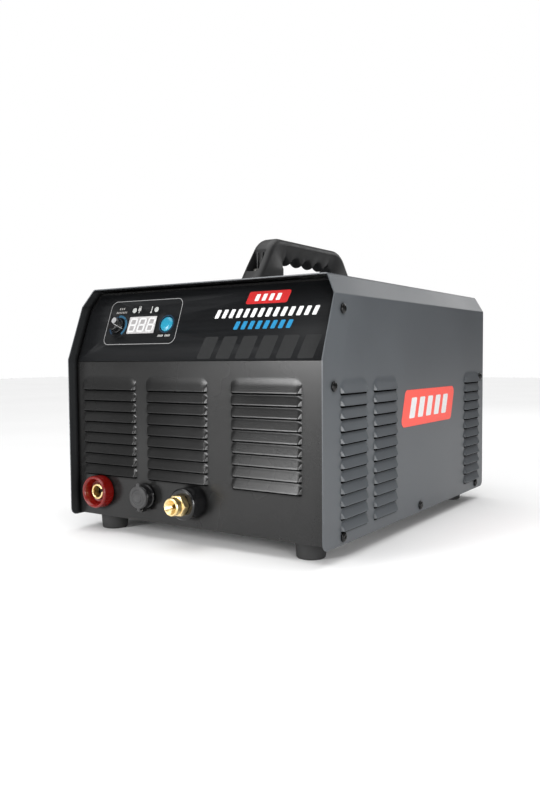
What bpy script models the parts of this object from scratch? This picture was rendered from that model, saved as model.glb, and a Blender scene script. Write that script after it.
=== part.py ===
"""Plasma cutter unit: a bent steel case with a leaning control face, three connectors on the front,
a carrying handle on top, a fan and the supply fittings on the rear, and the power stage inside.

Front is -Y, up is +Z. The origin is on the floor, under the middle of the whole unit.
"""

import math

import bmesh
import bpy
from mathutils import Matrix, Vector

MM = 0.001
GAP = 0.3 * MM                      # left between pieces that touch

# Case
WIDTH = 335 * MM                    # outer cover, side to side
DEPTH = 445 * MM                    # outer cover, front to rear
HEIGHT = 260 * MM                   # outer cover, lower edge to top
FOOT_DROP = 16 * MM                 # floor to the cover's lower edge
SHOULDER = 240 * MM                 # cover's lower edge to the start of the chamfer
CHAMFER = 12 * MM                   # how far the chamfer comes in
COVER_KINK = 179 * MM               # cover's lower edge to where the front edge starts to lean
PANEL_KINK = 176.5 * MM             # the same for the front panel, which sits further back
LEAN = 0.38                         # backward travel per unit of height above the kink
CORNER = 8 * MM                     # rounding of the cover's lower corners
SKIN = 1.2 * MM                     # cover sheet
SHEET = 1.5 * MM                    # panels and base pan sheet
FRONT_Y = -220 * MM                 # front edge of the cover
REAR_Y = FRONT_Y + DEPTH
FRONT_RECESS = 12.2 * MM
REAR_RECESS = 6 * MM
PAN_DROP = 18 * MM                  # floor to the base pan's underside
PAN_WALL = 11.5 * MM                # height of the base pan's rim
FLANGE = 16 * MM                    # width of the folded edges of the two panels

HALF = WIDTH / 2
TOP = FOOT_DROP + HEIGHT
LINING = HALF - SKIN - GAP          # outer faces of everything just inside the cover
PANEL_Y = FRONT_Y + FRONT_RECESS
BACK_Y = REAR_Y - REAR_RECESS
PANEL_TOP = TOP - SKIN - 3 * MM
LEAN_ANGLE = math.atan(LEAN)

# Pressed louvres
LOUVRE_PITCH = 12 * MM
LOUVRE_PROUD = 3.5 * MM
LOUVRE_RISE = 10.6 * MM
LOUVRE_BROW = 7 * MM                 # height of the nearly upright part
SIDE_LOUVRES = ((33, 90), (104, 161), (370, 427))       # mm from the cover's front edge
SIDE_ROWS = 12
SIDE_TOP_LIP = FOOT_DROP + 145.5 * MM
FRONT_LOUVRES = ((-156, -74), (-59, 25), (54.5, 138))   # mm from the middle
FRONT_ROWS = 9
FRONT_TOP_LIP = FOOT_DROP + 145.5 * MM

# Screws that hold the cover: mm behind the cover's front edge, mm above its lower edge
COVER_SCREWS = ((39, 225.7), (20.7, 152.5), (38.8, 7.5), (226.6, 7.5), (415.8, 7.5), (431.6, 151.5))
SCREW_HOLE = 2.6 * MM

# Front connectors
WORK_X = -128.5 * MM
CONTROL_X = -61.8 * MM
TORCH_X = 4.9 * MM
CONNECTOR_Z = FOOT_DROP + 30 * MM

# Controls on the leaning face: across from the middle, up the slope from the kink
KNOB_AT = (-113.5 * MM, 42.5 * MM)
DISPLAY_AT = (-78.3 * MM, 43.2 * MM)
BUTTON_AT = (-41.6 * MM, 43.2 * MM)
POWER_LAMP_AT = (-94.1 * MM, 61.1 * MM)
HEAT_LAMP_AT = (-61.5 * MM, 61.1 * MM)
DISPLAY_SIZE = (42 * MM, 21.6 * MM)
BUTTON_RADIUS = 8.6 * MM
KNOB_RADIUS = 8.5 * MM
LAMP_RADIUS = 3.2 * MM
OVERLAY_BOTTOM = 0.6 * MM
OVERLAY_TOP = 82 * MM
OVERLAY_LIFT = 0.7 * MM             # front of the overlay above the panel

# Handle, measured from its own middle
HANDLE_Y = FRONT_Y + 241 * MM
HANDLE_HALF = 126 * MM
HANDLE_HEIGHT = 61.3 * MM
HANDLE_SLOPE = 34 / 48              # leg's inward travel per unit of height
HANDLE_WIDTH = 28 * MM
HANDLE_SHOULDER = 33 * MM
GRIP_HALF = 62 * MM
GRIP_UNDER = 37.5 * MM
FINGER_PITCH = 27.2 * MM
HANDLE_SCREW = 101 * MM             # screws either side of the middle
POCKET_FLOOR = 20 * MM              # screw pocket in the face of each leg
POCKET_TOP = 46 * MM
POCKET_HALF = 6 * MM

# Feet
FOOT_X = 133 * MM
FOOT_INSET = 36 * MM
FOOT_TOP = 15.8 * MM
FOOT_BOTTOM = 14.5 * MM

# Rear fittings: X, Z
FAN_AT = (-70 * MM, FOOT_DROP + 122 * MM)
FAN_SIZE = 120 * MM
FAN_DEPTH = 25 * MM
FAN_BORE = 57 * MM
SWITCH_AT = (88 * MM, FOOT_DROP + 200 * MM)
GLAND_AT = (112 * MM, FOOT_DROP + 60 * MM)
INLET_AT = (40 * MM, FOOT_DROP + 60 * MM)
EARTH_AT = (76 * MM, FOOT_DROP + 32 * MM)


def clear_scene():
    for thing in list(bpy.data.objects):
        bpy.data.objects.remove(thing)


def new_collection(name):
    group = bpy.data.collections.new(name)
    bpy.context.scene.collection.children.link(group)
    return group


clear_scene()
PARTS = new_collection("plasma_cutter_unit")
TOOLS = new_collection("cutters")


def finish(name, colour, roughness, metallic=0.0):
    made = bpy.data.materials.new(name)
    made.use_nodes = True
    shader = made.node_tree.nodes["Principled BSDF"]
    shader.inputs["Base Color"].default_value = (*colour, 1.0)
    shader.inputs["Roughness"].default_value = roughness
    shader.inputs["Metallic"].default_value = metallic
    return made


POWDER_GREY = finish("powder_grey", (0.11, 0.115, 0.12), 0.5, 0.1)
PANEL_GREY = finish("panel_grey", (0.09, 0.09, 0.093), 0.5, 0.1)
ZINC = finish("zinc_plate", (0.6, 0.6, 0.58), 0.35, 1.0)
OVERLAY_BLACK = finish("overlay_black", (0.012, 0.012, 0.014), 0.3)
BLACK_PLASTIC = finish("black_plastic", (0.02, 0.02, 0.02), 0.4)
HANDLE_BLACK = finish("handle_black", (0.03, 0.03, 0.03), 0.5)
RUBBER = finish("rubber", (0.045, 0.045, 0.045), 0.8)
RED_PLASTIC = finish("red_plastic", (0.35, 0.01, 0.01), 0.25)
BRASS = finish("brass", (0.8, 0.55, 0.2), 0.25, 1.0)
BLACK_SCREW = finish("black_screw", (0.02, 0.02, 0.02), 0.35, 0.6)
BLUE_CAP = finish("blue_cap", (0.03, 0.35, 0.6), 0.3)
DISPLAY_WHITE = finish("display_white", (0.75, 0.75, 0.75), 0.4)
LAMP_WHITE = finish("lamp_white", (0.6, 0.62, 0.6), 0.35)
BOARD_GREEN = finish("board_green", (0.02, 0.16, 0.06), 0.5)
ALUMINIUM = finish("aluminium", (0.7, 0.7, 0.72), 0.4, 1.0)
DARK_FERRITE = finish("ferrite", (0.05, 0.045, 0.04), 0.6)
HOSE_BLACK = finish("hose_black", (0.03, 0.03, 0.035), 0.55)
CAPACITOR_SLEEVE = finish("capacitor_sleeve", (0.02, 0.03, 0.08), 0.35)


# ---------------------------------------------------------------- building blocks

def add_empty(name, at, turn=(0, 0, 0)):
    empty = bpy.data.objects.new(name, None)
    empty.location = at
    empty.rotation_euler = turn
    TOOLS.objects.link(empty)
    return empty


def add_piece(name, mesh, look, at=(0, 0, 0), turn=(0, 0, 0), parent=None):
    piece = bpy.data.objects.new(name, mesh)
    piece.location = at
    piece.rotation_euler = turn
    piece.parent = parent
    if not mesh.materials:
        mesh.materials.append(look)
    PARTS.objects.link(piece)
    return piece


def add_tool(name, mesh, at=(0, 0, 0), turn=(0, 0, 0), parent=None):
    tool = bpy.data.objects.new(name, mesh)
    tool.location = at
    tool.rotation_euler = turn
    tool.parent = parent
    tool.hide_render = True
    tool.display_type = "WIRE"
    TOOLS.objects.link(tool)
    return tool


def boolean(piece, tool, operation):
    step = piece.modifiers.new(tool.name, "BOOLEAN")
    step.operation = operation
    step.solver = "EXACT"
    step.object = tool


def mesh_of(bm, name):
    bmesh.ops.recalc_face_normals(bm, faces=bm.faces)
    mesh = bpy.data.meshes.new(name)
    bm.to_mesh(mesh)
    bm.free()
    return mesh


def smooth(mesh, degrees=35):
    mesh.shade_smooth()
    mesh.set_sharp_from_angle(angle=math.radians(degrees))
    return mesh


def put_block(bm, size, centre):
    made = bmesh.ops.create_cube(bm, size=1.0)
    bmesh.ops.scale(bm, vec=size, verts=made["verts"])
    bmesh.ops.translate(bm, vec=centre, verts=made["verts"])
    return made["verts"]


def put_rod(bm, radius, low, high, centre=(0, 0), sides=24, top_radius=None, turn=None):
    """A cylinder along Z from low to high, then turned by the matrix turn."""
    matrix = Matrix.Translation((centre[0], centre[1], (low + high) / 2))
    if turn is not None:
        matrix = turn @ matrix
    top = radius if top_radius is None else top_radius
    made = bmesh.ops.create_cone(bm, cap_ends=True, segments=sides, radius1=radius, radius2=top,
                                 depth=high - low, matrix=matrix)
    return made["verts"]


def put_hexagon(bm, across_flats, low, high):
    """A hexagonal bar along Z with two of its corners on the X axis."""
    put_rod(bm, across_flats / math.sqrt(3), low, high, sides=6, turn=Matrix.Rotation(math.pi / 6, 4, "Z"))


def block_mesh(name, size, centre=(0, 0, 0), bevel=0.0, segments=1):
    bm = bmesh.new()
    put_block(bm, size, centre)
    if bevel:
        bmesh.ops.bevel(bm, geom=list(bm.edges), offset=bevel, segments=segments, affect="EDGES")
    return mesh_of(bm, name)


def rods_mesh(name, rods):
    """Separate cylinders along Z, for drilling: (x, y, radius, low, high, sides)."""
    bm = bmesh.new()
    for x, y, radius, low, high, sides in rods:
        put_rod(bm, radius, low, high, (x, y), sides)
    return mesh_of(bm, name)


def turned(name, profile, look, at, turn, steps=24, ring=True, parent=None, tool=False):
    """A turned shape; profile points are (radius, height), down the outer side first."""
    mesh = bpy.data.meshes.new(name)
    bm = bmesh.new()
    corners = [bm.verts.new((radius, 0, height)) for radius, height in profile]
    for first, second in zip(corners, corners[1:]):
        bm.edges.new((first, second))
    if ring:
        bm.edges.new((corners[-1], corners[0]))
    bm.to_mesh(mesh)
    bm.free()
    piece = add_tool(name, mesh, at, turn, parent) if tool else add_piece(name, mesh, look, at, turn, parent)
    screw = piece.modifiers.new("turn", "SCREW")
    screw.axis = "Z"
    screw.steps = steps
    screw.render_steps = steps
    screw.use_merge_vertices = True
    screw.merge_threshold = 0.00001
    screw.use_smooth_shade = False
    return piece


def folded_sheet(name, columns, rows, position, thickness, look, missing=()):
    """A bent sheet: a grid of corner points placed by position(column, row), thickened inwards.

    missing lists the (column, row) cells that the sheet doesn't have."""
    bm = bmesh.new()
    bmesh.ops.create_grid(bm, x_segments=columns - 1, y_segments=rows - 1, size=0.5)
    cell_of = {}
    for face in bm.faces:
        centre = face.calc_center_median()
        column = int((centre.x + 0.5) * (columns - 1))
        row = int((centre.y + 0.5) * (rows - 1))
        cell_of[face] = (column, row)
    for corner in bm.verts:
        column = round((corner.co.x + 0.5) * (columns - 1))
        row = round((corner.co.y + 0.5) * (rows - 1))
        corner.co = position(column, row)
    unwanted = [face for face, cell in cell_of.items() if cell in missing]
    bmesh.ops.delete(bm, geom=unwanted, context="FACES")
    mesh = bpy.data.meshes.new(name)
    bm.to_mesh(mesh)
    bm.free()
    piece = add_piece(name, mesh, look)
    thicken(piece, thickness)
    return piece


def thicken(piece, thickness):
    """Gives an open surface its sheet thickness, on the side away from its normals."""
    shell = piece.modifiers.new("thickness", "SOLIDIFY")
    shell.solidify_mode = "NON_MANIFOLD"
    shell.nonmanifold_thickness_mode = "CONSTRAINTS"
    shell.thickness = thickness
    shell.offset = -1.0


def outline_block(bm, points, axis_low, axis_high, place):
    """Extrudes a closed outline; place(u, v, w) gives the corner for outline point u, v at w."""
    low = [bm.verts.new(place(u, v, axis_low)) for u, v in points]
    face = bm.faces.new(low)
    sides = bmesh.ops.extrude_face_region(bm, geom=[face])
    moved = [item for item in sides["geom"] if isinstance(item, bmesh.types.BMVert)]
    shift = Vector(place(0, 0, axis_high)) - Vector(place(0, 0, axis_low))
    bmesh.ops.translate(bm, vec=shift, verts=moved)


def arc(centre, radius, start, end, steps):
    """Points on an arc, angles in degrees, both ends included."""
    points = []
    for step in range(steps + 1):
        angle = math.radians(start + (end - start) * step / steps)
        points.append((centre[0] + radius * math.cos(angle), centre[1] + radius * math.sin(angle)))
    return points


def put_louvre(bm, base, out, along, half_length, skin, inner):
    """One pressed louvre as a convex block: the outer bulge, or the hollow under it."""
    up = Vector((0, 0, 1))
    if inner:
        section = (
            (-3 * MM, -0.8 * MM, 1.5 * MM),
            (LOUVRE_PROUD - skin, -0.8 * MM, LOUVRE_PROUD * 0.7 + skin),
            (LOUVRE_PROUD * 0.85 - skin, LOUVRE_BROW - skin * 0.6, LOUVRE_PROUD * 0.7 + skin),
            (-skin * 1.3, LOUVRE_RISE - skin * 0.6, 1 * MM + skin),
            (-3 * MM, LOUVRE_RISE - skin * 0.6, 1 * MM + skin),
        )
    else:
        section = (
            (-skin * 0.42, 0, 0),
            (LOUVRE_PROUD, 0, LOUVRE_PROUD * 0.7),
            (LOUVRE_PROUD * 0.85, LOUVRE_BROW, LOUVRE_PROUD * 0.7),
            (-skin * 0.42, LOUVRE_RISE, 1 * MM),
        )
    corners = []
    for reach, rise, inset in section:
        for side in (-1, 1):
            corners.append(bm.verts.new(base + out * reach + up * rise + along * side * (half_length - inset)))
    bmesh.ops.convex_hull(bm, input=corners)


def louvre_tools(label, placements, skin):
    """The two tools that press a set of louvres: (base, out, along, half_length) for each."""
    tools = []
    for kind, inner in (("bulges", False), ("hollows", True)):
        bm = bmesh.new()
        for base, out, along, half_length in placements:
            put_louvre(bm, base, out, along, half_length, skin, inner)
        tools.append(add_tool(f"{label}_{kind}", mesh_of(bm, f"{label}_{kind}")))
    return tools


def lean_y(height, kink, start_y):
    """Y of a front edge or face at a height above the floor."""
    return start_y + LEAN * max(0.0, height - FOOT_DROP - kink)


FRONT_TURN = (math.pi / 2, 0, 0)            # local +Z points to the front
REAR_TURN = (-math.pi / 2, 0, 0)            # local +Z points to the rear
LEAN_FACE = add_empty("leaning_face", (0, PANEL_Y, FOOT_DROP + PANEL_KINK), (math.pi / 2 - LEAN_ANGLE, 0, 0))


# ---------------------------------------------------------------- case

def side_outline():
    """The cover seen from the side, as (y, z) points, anticlockwise from the lower front corner."""
    low = FOOT_DROP
    front = arc((FRONT_Y + CORNER, low + CORNER), CORNER, 180, 270, 4)
    rear = arc((REAR_Y - CORNER, low + CORNER), CORNER, 270, 360, 4)
    above = TOP + 10 * MM
    kink = low + COVER_KINK
    return front + rear + [(REAR_Y, above), (lean_y(above, COVER_KINK, FRONT_Y), above), (FRONT_Y, kink)]


def make_outer_cover():
    low = FOOT_DROP
    bends = (
        (-HALF, low), (-HALF, low + SHOULDER), (-HALF + CHAMFER, TOP),
        (HALF - CHAMFER, TOP), (HALF, low + SHOULDER), (HALF, low),
    )
    over = 5 * MM

    def corner(column, row):
        x, z = bends[column]
        stretch = over if z == low else 0
        return Vector((x, FRONT_Y - over + row * (DEPTH + 2 * over), z - stretch))

    cover = folded_sheet("outer_cover", len(bends), 2, corner, SKIN, POWDER_GREY)
    bm = bmesh.new()
    outline_block(bm, side_outline(), -HALF - 20 * MM, HALF + 20 * MM, lambda y, z, x: (x, y, z))
    boolean(cover, add_tool("cover_outline", mesh_of(bm, "cover_outline")), "INTERSECT")

    placements = []
    for side in (-1, 1):
        for start, end in SIDE_LOUVRES:
            for row in range(SIDE_ROWS):
                middle = FRONT_Y + (start + end) / 2 * MM
                base = Vector((side * HALF, middle, SIDE_TOP_LIP - row * LOUVRE_PITCH))
                placements.append((base, Vector((side, 0, 0)), Vector((0, 1, 0)), (end - start) / 2 * MM))
    bulges, hollows = louvre_tools("side_louvre", placements, SKIN)
    boolean(cover, bulges, "UNION")
    boolean(cover, hollows, "DIFFERENCE")

    bm = bmesh.new()
    across = Matrix.Rotation(math.pi / 2, 4, "Y")
    for side in (-1, 1):
        for y, z in COVER_SCREWS:
            turn = Matrix.Translation((side * HALF, FRONT_Y + y * MM, low + z * MM)) @ across
            put_rod(bm, SCREW_HOLE, -5 * MM, 5 * MM, sides=12, turn=turn)
    for side in (-1, 1):
        put_rod(bm, 3.2 * MM, TOP - 6 * MM, TOP + 4 * MM, (0, HANDLE_Y + side * HANDLE_SCREW), 12)
    boolean(cover, add_tool("cover_holes", mesh_of(bm, "cover_holes")), "DIFFERENCE")


def make_base_pan():
    front = PANEL_Y + SHEET + GAP
    rear = BACK_Y - SHEET - GAP
    bm = bmesh.new()
    size = (2 * LINING, rear - front, PAN_WALL)
    put_block(bm, size, (0, (front + rear) / 2, PAN_DROP + PAN_WALL / 2))
    lid = max(bm.faces, key=lambda face: face.calc_center_median().z)
    bmesh.ops.delete(bm, geom=[lid], context="FACES_ONLY")
    mesh = bpy.data.meshes.new("base_pan")
    bm.to_mesh(mesh)
    bm.free()
    pan = add_piece("base_pan", mesh, ZINC)
    thicken(pan, SHEET)

    bm = bmesh.new()
    across = Matrix.Rotation(math.pi / 2, 4, "Y")
    for side in (-1, 1):
        for y, z in COVER_SCREWS:
            if z < 10:
                turn = Matrix.Translation((side * LINING, FRONT_Y + y * MM, FOOT_DROP + z * MM)) @ across
                put_rod(bm, SCREW_HOLE, -5 * MM, 5 * MM, sides=12, turn=turn)
    for x, y in foot_places():
        put_rod(bm, 2.6 * MM, PAN_DROP - 4 * MM, PAN_DROP + 5 * MM, (x, y), 12)
    for row in range(6):
        y = FRONT_Y + (120 + row * 36) * MM
        put_block(bm, (90 * MM, 5 * MM, 10 * MM), (-70 * MM, y, PAN_DROP))
    boolean(pan, add_tool("pan_holes", mesh_of(bm, "pan_holes")), "DIFFERENCE")


def panel_screw_tool(label, chosen):
    bm = bmesh.new()
    across = Matrix.Rotation(math.pi / 2, 4, "Y")
    for side in (-1, 1):
        for y, z in chosen:
            turn = Matrix.Translation((side * LINING, FRONT_Y + y * MM, FOOT_DROP + z * MM)) @ across
            put_rod(bm, SCREW_HOLE, -5 * MM, 5 * MM, sides=12, turn=turn)
    return add_tool(label, mesh_of(bm, label))


def make_front_panel():
    levels = (PAN_DROP, PAN_DROP + PAN_WALL + 2 * MM, FOOT_DROP + PANEL_KINK, PANEL_TOP)
    across = (-LINING, -LINING, LINING, LINING)
    back = (FLANGE, 0, 0, FLANGE)
    top_inset = CHAMFER * (PANEL_TOP - FOOT_DROP - SHOULDER) / (HEIGHT - SHOULDER) + 1.5 * MM

    def corner(column, row):
        z = levels[row]
        x = across[column]
        return Vector((x, lean_y(z, PANEL_KINK, PANEL_Y) + back[column], z))

    panel = folded_sheet("front_panel", 4, 4, corner, SHEET, PANEL_GREY, missing=((0, 0), (2, 0)))

    bm = bmesh.new()
    for side in (-1, 1):
        shoulder = FOOT_DROP + SHOULDER - 1.5 * MM
        over = 20 * MM
        rise = PANEL_TOP - shoulder
        points = [
            (side * LINING, shoulder), (side * (LINING - top_inset), PANEL_TOP),
            (side * (LINING - top_inset * (rise + over) / rise), PANEL_TOP + over),
            (side * (LINING + over), PANEL_TOP + over), (side * (LINING + over), shoulder),
        ]
        outline_block(bm, points, PANEL_Y - over, PANEL_Y + 5 * over, lambda x, z, y: (x, y, z))
    boolean(panel, add_tool("panel_shoulders", mesh_of(bm, "panel_shoulders")), "DIFFERENCE")

    placements = []
    for start, end in FRONT_LOUVRES:
        for row in range(FRONT_ROWS):
            base = Vector(((start + end) / 2 * MM, PANEL_Y, FRONT_TOP_LIP - row * LOUVRE_PITCH))
            placements.append((base, Vector((0, -1, 0)), Vector((1, 0, 0)), (end - start) / 2 * MM))
    bulges, hollows = louvre_tools("front_louvre", placements, SHEET)
    boolean(panel, bulges, "UNION")
    boolean(panel, hollows, "DIFFERENCE")

    bores = ((WORK_X, 11.6 * MM), (CONTROL_X, 10.6 * MM), (TORCH_X, 12.6 * MM))
    rods = [(x, CONNECTOR_Z, radius, -6 * MM, 6 * MM, 24) for x, radius in bores]
    mesh = rods_mesh("connector_bores", rods)
    mesh.transform(Matrix.Rotation(math.pi / 2, 4, "X"))
    boolean(panel, add_tool("connector_bores", mesh, (0, PANEL_Y, 0)), "DIFFERENCE")
    boolean(panel, add_tool("control_bores", control_bores(1.2 * MM), parent=LEAN_FACE), "DIFFERENCE")
    boolean(panel, panel_screw_tool("front_flange_holes", COVER_SCREWS[:2]), "DIFFERENCE")


def control_bores(margin):
    """Openings for the controls, in the leaning face's own directions."""
    bm = bmesh.new()
    reach = 6 * MM
    put_rod(bm, 3.6 * MM + margin / 2, -reach, reach, KNOB_AT, 20)
    put_rod(bm, BUTTON_RADIUS + margin / 2, -reach, reach, BUTTON_AT, 28)
    for place in (POWER_LAMP_AT, HEAT_LAMP_AT):
        put_rod(bm, LAMP_RADIUS + margin / 2, -reach, reach, place, 16)
    size = (DISPLAY_SIZE[0] + margin, DISPLAY_SIZE[1] + margin, 2 * reach)
    put_block(bm, size, (DISPLAY_AT[0], DISPLAY_AT[1], 0))
    return mesh_of(bm, "control_bores")


def make_rear_panel():
    levels = (PAN_DROP, PAN_DROP + PAN_WALL + 2 * MM, FOOT_DROP + SHOULDER - 1.5 * MM, PANEL_TOP)
    top_inset = CHAMFER * (PANEL_TOP - FOOT_DROP - SHOULDER) / (HEIGHT - SHOULDER) + 1.5 * MM
    side = (1, 1, -1, -1)
    front = (FLANGE, 0, 0, FLANGE)

    def corner(column, row):
        reach = LINING - (top_inset if row == 3 else 0)
        return Vector((side[column] * reach, BACK_Y - front[column], levels[row]))

    panel = folded_sheet("rear_panel", 4, 4, corner, SHEET, PANEL_GREY, missing=((0, 0), (2, 0), (0, 2), (2, 2)))
    rods = [
        (*FAN_AT, FAN_BORE - 1 * MM, -6 * MM, 6 * MM, 40),
        (*GLAND_AT, 10.6 * MM, -6 * MM, 6 * MM, 20),
        (*INLET_AT, 7.1 * MM, -6 * MM, 6 * MM, 20),
        (*EARTH_AT, 3.4 * MM, -6 * MM, 6 * MM, 12),
    ]
    mesh = rods_mesh("rear_bores", rods)
    mesh.transform(Matrix.Rotation(math.pi / 2, 4, "X"))
    boolean(panel, add_tool("rear_bores", mesh, (0, BACK_Y, 0)), "DIFFERENCE")
    window = block_mesh("switch_window", (28.6 * MM, 12 * MM, 22.6 * MM))
    boolean(panel, add_tool("switch_window", window, (SWITCH_AT[0], BACK_Y, SWITCH_AT[1])), "DIFFERENCE")
    boolean(panel, panel_screw_tool("rear_flange_holes", COVER_SCREWS[5:]), "DIFFERENCE")


def make_cover_screws():
    profile = [
        (0, 2.4 * MM), (2.3 * MM, 2.2 * MM), (4.1 * MM, 1.2 * MM), (4.75 * MM, 0), (2.2 * MM, 0),
        (2.2 * MM, -8 * MM), (0, -8 * MM),
    ]
    names = ("front_top", "front_middle", "front_bottom", "middle_bottom", "rear_bottom", "rear_middle")
    for side, word in ((-1, "left"), (1, "right")):
        for place, (y, z) in zip(names, COVER_SCREWS):
            at = (side * (HALF + GAP), FRONT_Y + y * MM, FOOT_DROP + z * MM)
            turned(f"cover_screw_{word}_{place}", profile, BLACK_SCREW, at, (0, side * math.pi / 2, 0),
                   steps=12, ring=False)


# ---------------------------------------------------------------- handle and feet

def handle_outline():
    """Side view of the whole handle, as (y, z) from the middle of its foot line."""
    slope = math.degrees(math.atan2(1, HANDLE_SLOPE))
    corner_y = -HANDLE_HALF + HANDLE_HEIGHT * HANDLE_SLOPE
    tangent = HANDLE_SHOULDER * math.tan(math.radians(slope / 2))
    centre = (corner_y + tangent, HANDLE_HEIGHT - HANDLE_SHOULDER)
    front = arc(centre, HANDLE_SHOULDER, 90 + slope, 90, 6)
    rear = [(-y, z) for y, z in reversed(front)]
    return [(-HANDLE_HALF, 0)] + front + rear + [(HANDLE_HALF, 0)]


def grip_outline():
    """The hand opening: straight legs, and four finger scallops along its upper side."""
    ripple = 2.3 * MM
    points = [(GRIP_HALF, -8 * MM), (GRIP_HALF, GRIP_UNDER - 6 * MM)]
    steps = 32
    span = GRIP_HALF - 3 * MM
    for step in range(steps + 1):
        y = span - 2 * span * step / steps
        points.append((y, GRIP_UNDER - ripple - ripple * math.cos(2 * math.pi * y / FINGER_PITCH)))
    return points + [(-GRIP_HALF, GRIP_UNDER - 6 * MM), (-GRIP_HALF, -8 * MM)]


def make_handle():
    half = HANDLE_WIDTH / 2
    bm = bmesh.new()
    outline_block(bm, handle_outline(), -half, half, lambda y, z, x: (x, y, z))
    bmesh.ops.recalc_face_normals(bm, faces=bm.faces)
    rims = [edge for edge in bm.edges if edge.calc_face_angle(0) > 1 and edge.verts[0].co.x == edge.verts[1].co.x]
    rims = [edge for edge in rims if max(edge.verts[0].co.z, edge.verts[1].co.z) > 1 * MM]
    bmesh.ops.bevel(bm, geom=rims, offset=6 * MM, segments=3, affect="EDGES", clamp_overlap=True)
    body = mesh_of(bm, "handle")
    handle = add_piece("handle", smooth(body), HANDLE_BLACK, (0, HANDLE_Y, TOP + GAP))

    bm = bmesh.new()
    reach = half + 10 * MM
    outline_block(bm, grip_outline(), -reach, reach, lambda y, z, x: (x, y, z))
    boolean(handle, add_tool("grip_opening", mesh_of(bm, "grip_opening"), (0, HANDLE_Y, TOP + GAP)), "DIFFERENCE")

    rods = [(0, side * HANDLE_SCREW, 2.8 * MM, -5 * MM, POCKET_FLOOR + 1 * MM, 12) for side in (-1, 1)]
    bores = add_tool("handle_bores", rods_mesh("handle_bores", rods), (0, HANDLE_Y, TOP + GAP))
    boolean(handle, bores, "DIFFERENCE")
    wall = HANDLE_HALF - POCKET_TOP * HANDLE_SLOPE
    bm = bmesh.new()
    for side in (-1, 1):
        size = (2 * POCKET_HALF, 40 * MM, 50 * MM)
        put_block(bm, size, (0, side * (wall + 20 * MM), POCKET_FLOOR + 25 * MM))
    boolean(handle, add_tool("screw_pockets", mesh_of(bm, "screw_pockets"), (0, HANDLE_Y, TOP + GAP)), "DIFFERENCE")

    end = -POCKET_FLOOR - SKIN - 10 * MM
    profile = [
        (0, 3.2 * MM), (3.4 * MM, 2.6 * MM), (5 * MM, GAP), (2.4 * MM, GAP), (2.4 * MM, end), (0, end),
    ]
    for side, word in ((-1, "front"), (1, "rear")):
        at = (0, HANDLE_Y + side * HANDLE_SCREW, TOP + GAP + POCKET_FLOOR)
        turned(f"handle_screw_{word}", profile, ZINC, at, (0, 0, 0), steps=12, ring=False)


def foot_places():
    places = []
    for x in (-FOOT_X, FOOT_X):
        for y in (FRONT_Y + FOOT_INSET, REAR_Y - FOOT_INSET):
            places.append((x, y))
    return places


def make_feet():
    top = PAN_DROP - GAP
    profile = [
        (FOOT_TOP, top), (FOOT_BOTTOM + 0.1 * MM, 1.6 * MM), (FOOT_BOTTOM - 1.2 * MM, 0), (6 * MM, 0),
        (6 * MM, 7 * MM), (2.8 * MM, 7 * MM), (2.8 * MM, top),
    ]
    screw_top = 26 * MM
    head = 6.6 * MM
    screw = [
        (0, screw_top), (2.3 * MM, screw_top), (2.3 * MM, head), (4.8 * MM, head), (4.8 * MM, head - 3 * MM),
        (0, head - 3 * MM),
    ]
    words = ("front_left", "rear_left", "front_right", "rear_right")
    for word, (x, y) in zip(words, foot_places()):
        turned(f"foot_{word}", profile, RUBBER, (x, y, 0), (0, 0, 0), steps=20)
        turned(f"foot_screw_{word}", screw, ZINC, (x, y, 0), (0, 0, 0), steps=12, ring=False)


# ---------------------------------------------------------------- front connectors

def hex_nut(name, at, turn, across_flats, thickness, bore, look):
    """A plain hexagon nut whose flats face up and down, from local Z 0 to -thickness."""
    bm = bmesh.new()
    put_hexagon(bm, across_flats, -thickness, 0)
    nut = add_piece(name, mesh_of(bm, name), look, at, turn)
    hole = rods_mesh(f"{name}_hole", [(0, 0, bore, -thickness - 4 * MM, 4 * MM, 24)])
    boolean(nut, add_tool(f"{name}_hole", hole, at, turn), "DIFFERENCE")


def make_work_socket():
    at = (WORK_X, PANEL_Y, CONNECTOR_Z)
    body = [
        (17 * MM, 14.3 * MM), (18 * MM, 13.3 * MM), (18 * MM, GAP), (11 * MM, GAP), (11 * MM, -10 * MM),
        (9.2 * MM, -10 * MM), (9.2 * MM, 4 * MM), (13.4 * MM, 4 * MM), (14.6 * MM, 14.3 * MM),
    ]
    turned("work_socket_body", body, RED_PLASTIC, at, FRONT_TURN, steps=24)
    insert = [
        (6.3 * MM, 8.6 * MM), (8.8 * MM, 8.6 * MM), (8.8 * MM, -14 * MM), (5 * MM, -14 * MM), (5 * MM, -26 * MM),
        (0, -26 * MM), (0, -10 * MM), (6.3 * MM, -10 * MM),
    ]
    profile = [insert[7], insert[0], insert[1], insert[2], insert[3], insert[4], insert[5]]
    turned("work_socket_insert", [(0, -10 * MM)] + profile, BRASS, at, FRONT_TURN, steps=20, ring=False)
    nut_at = (WORK_X, PANEL_Y + SHEET + GAP, CONNECTOR_Z)
    hex_nut("work_socket_nut", nut_at, FRONT_TURN, 30 * MM, 5 * MM, 11.4 * MM, BLACK_PLASTIC)


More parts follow.
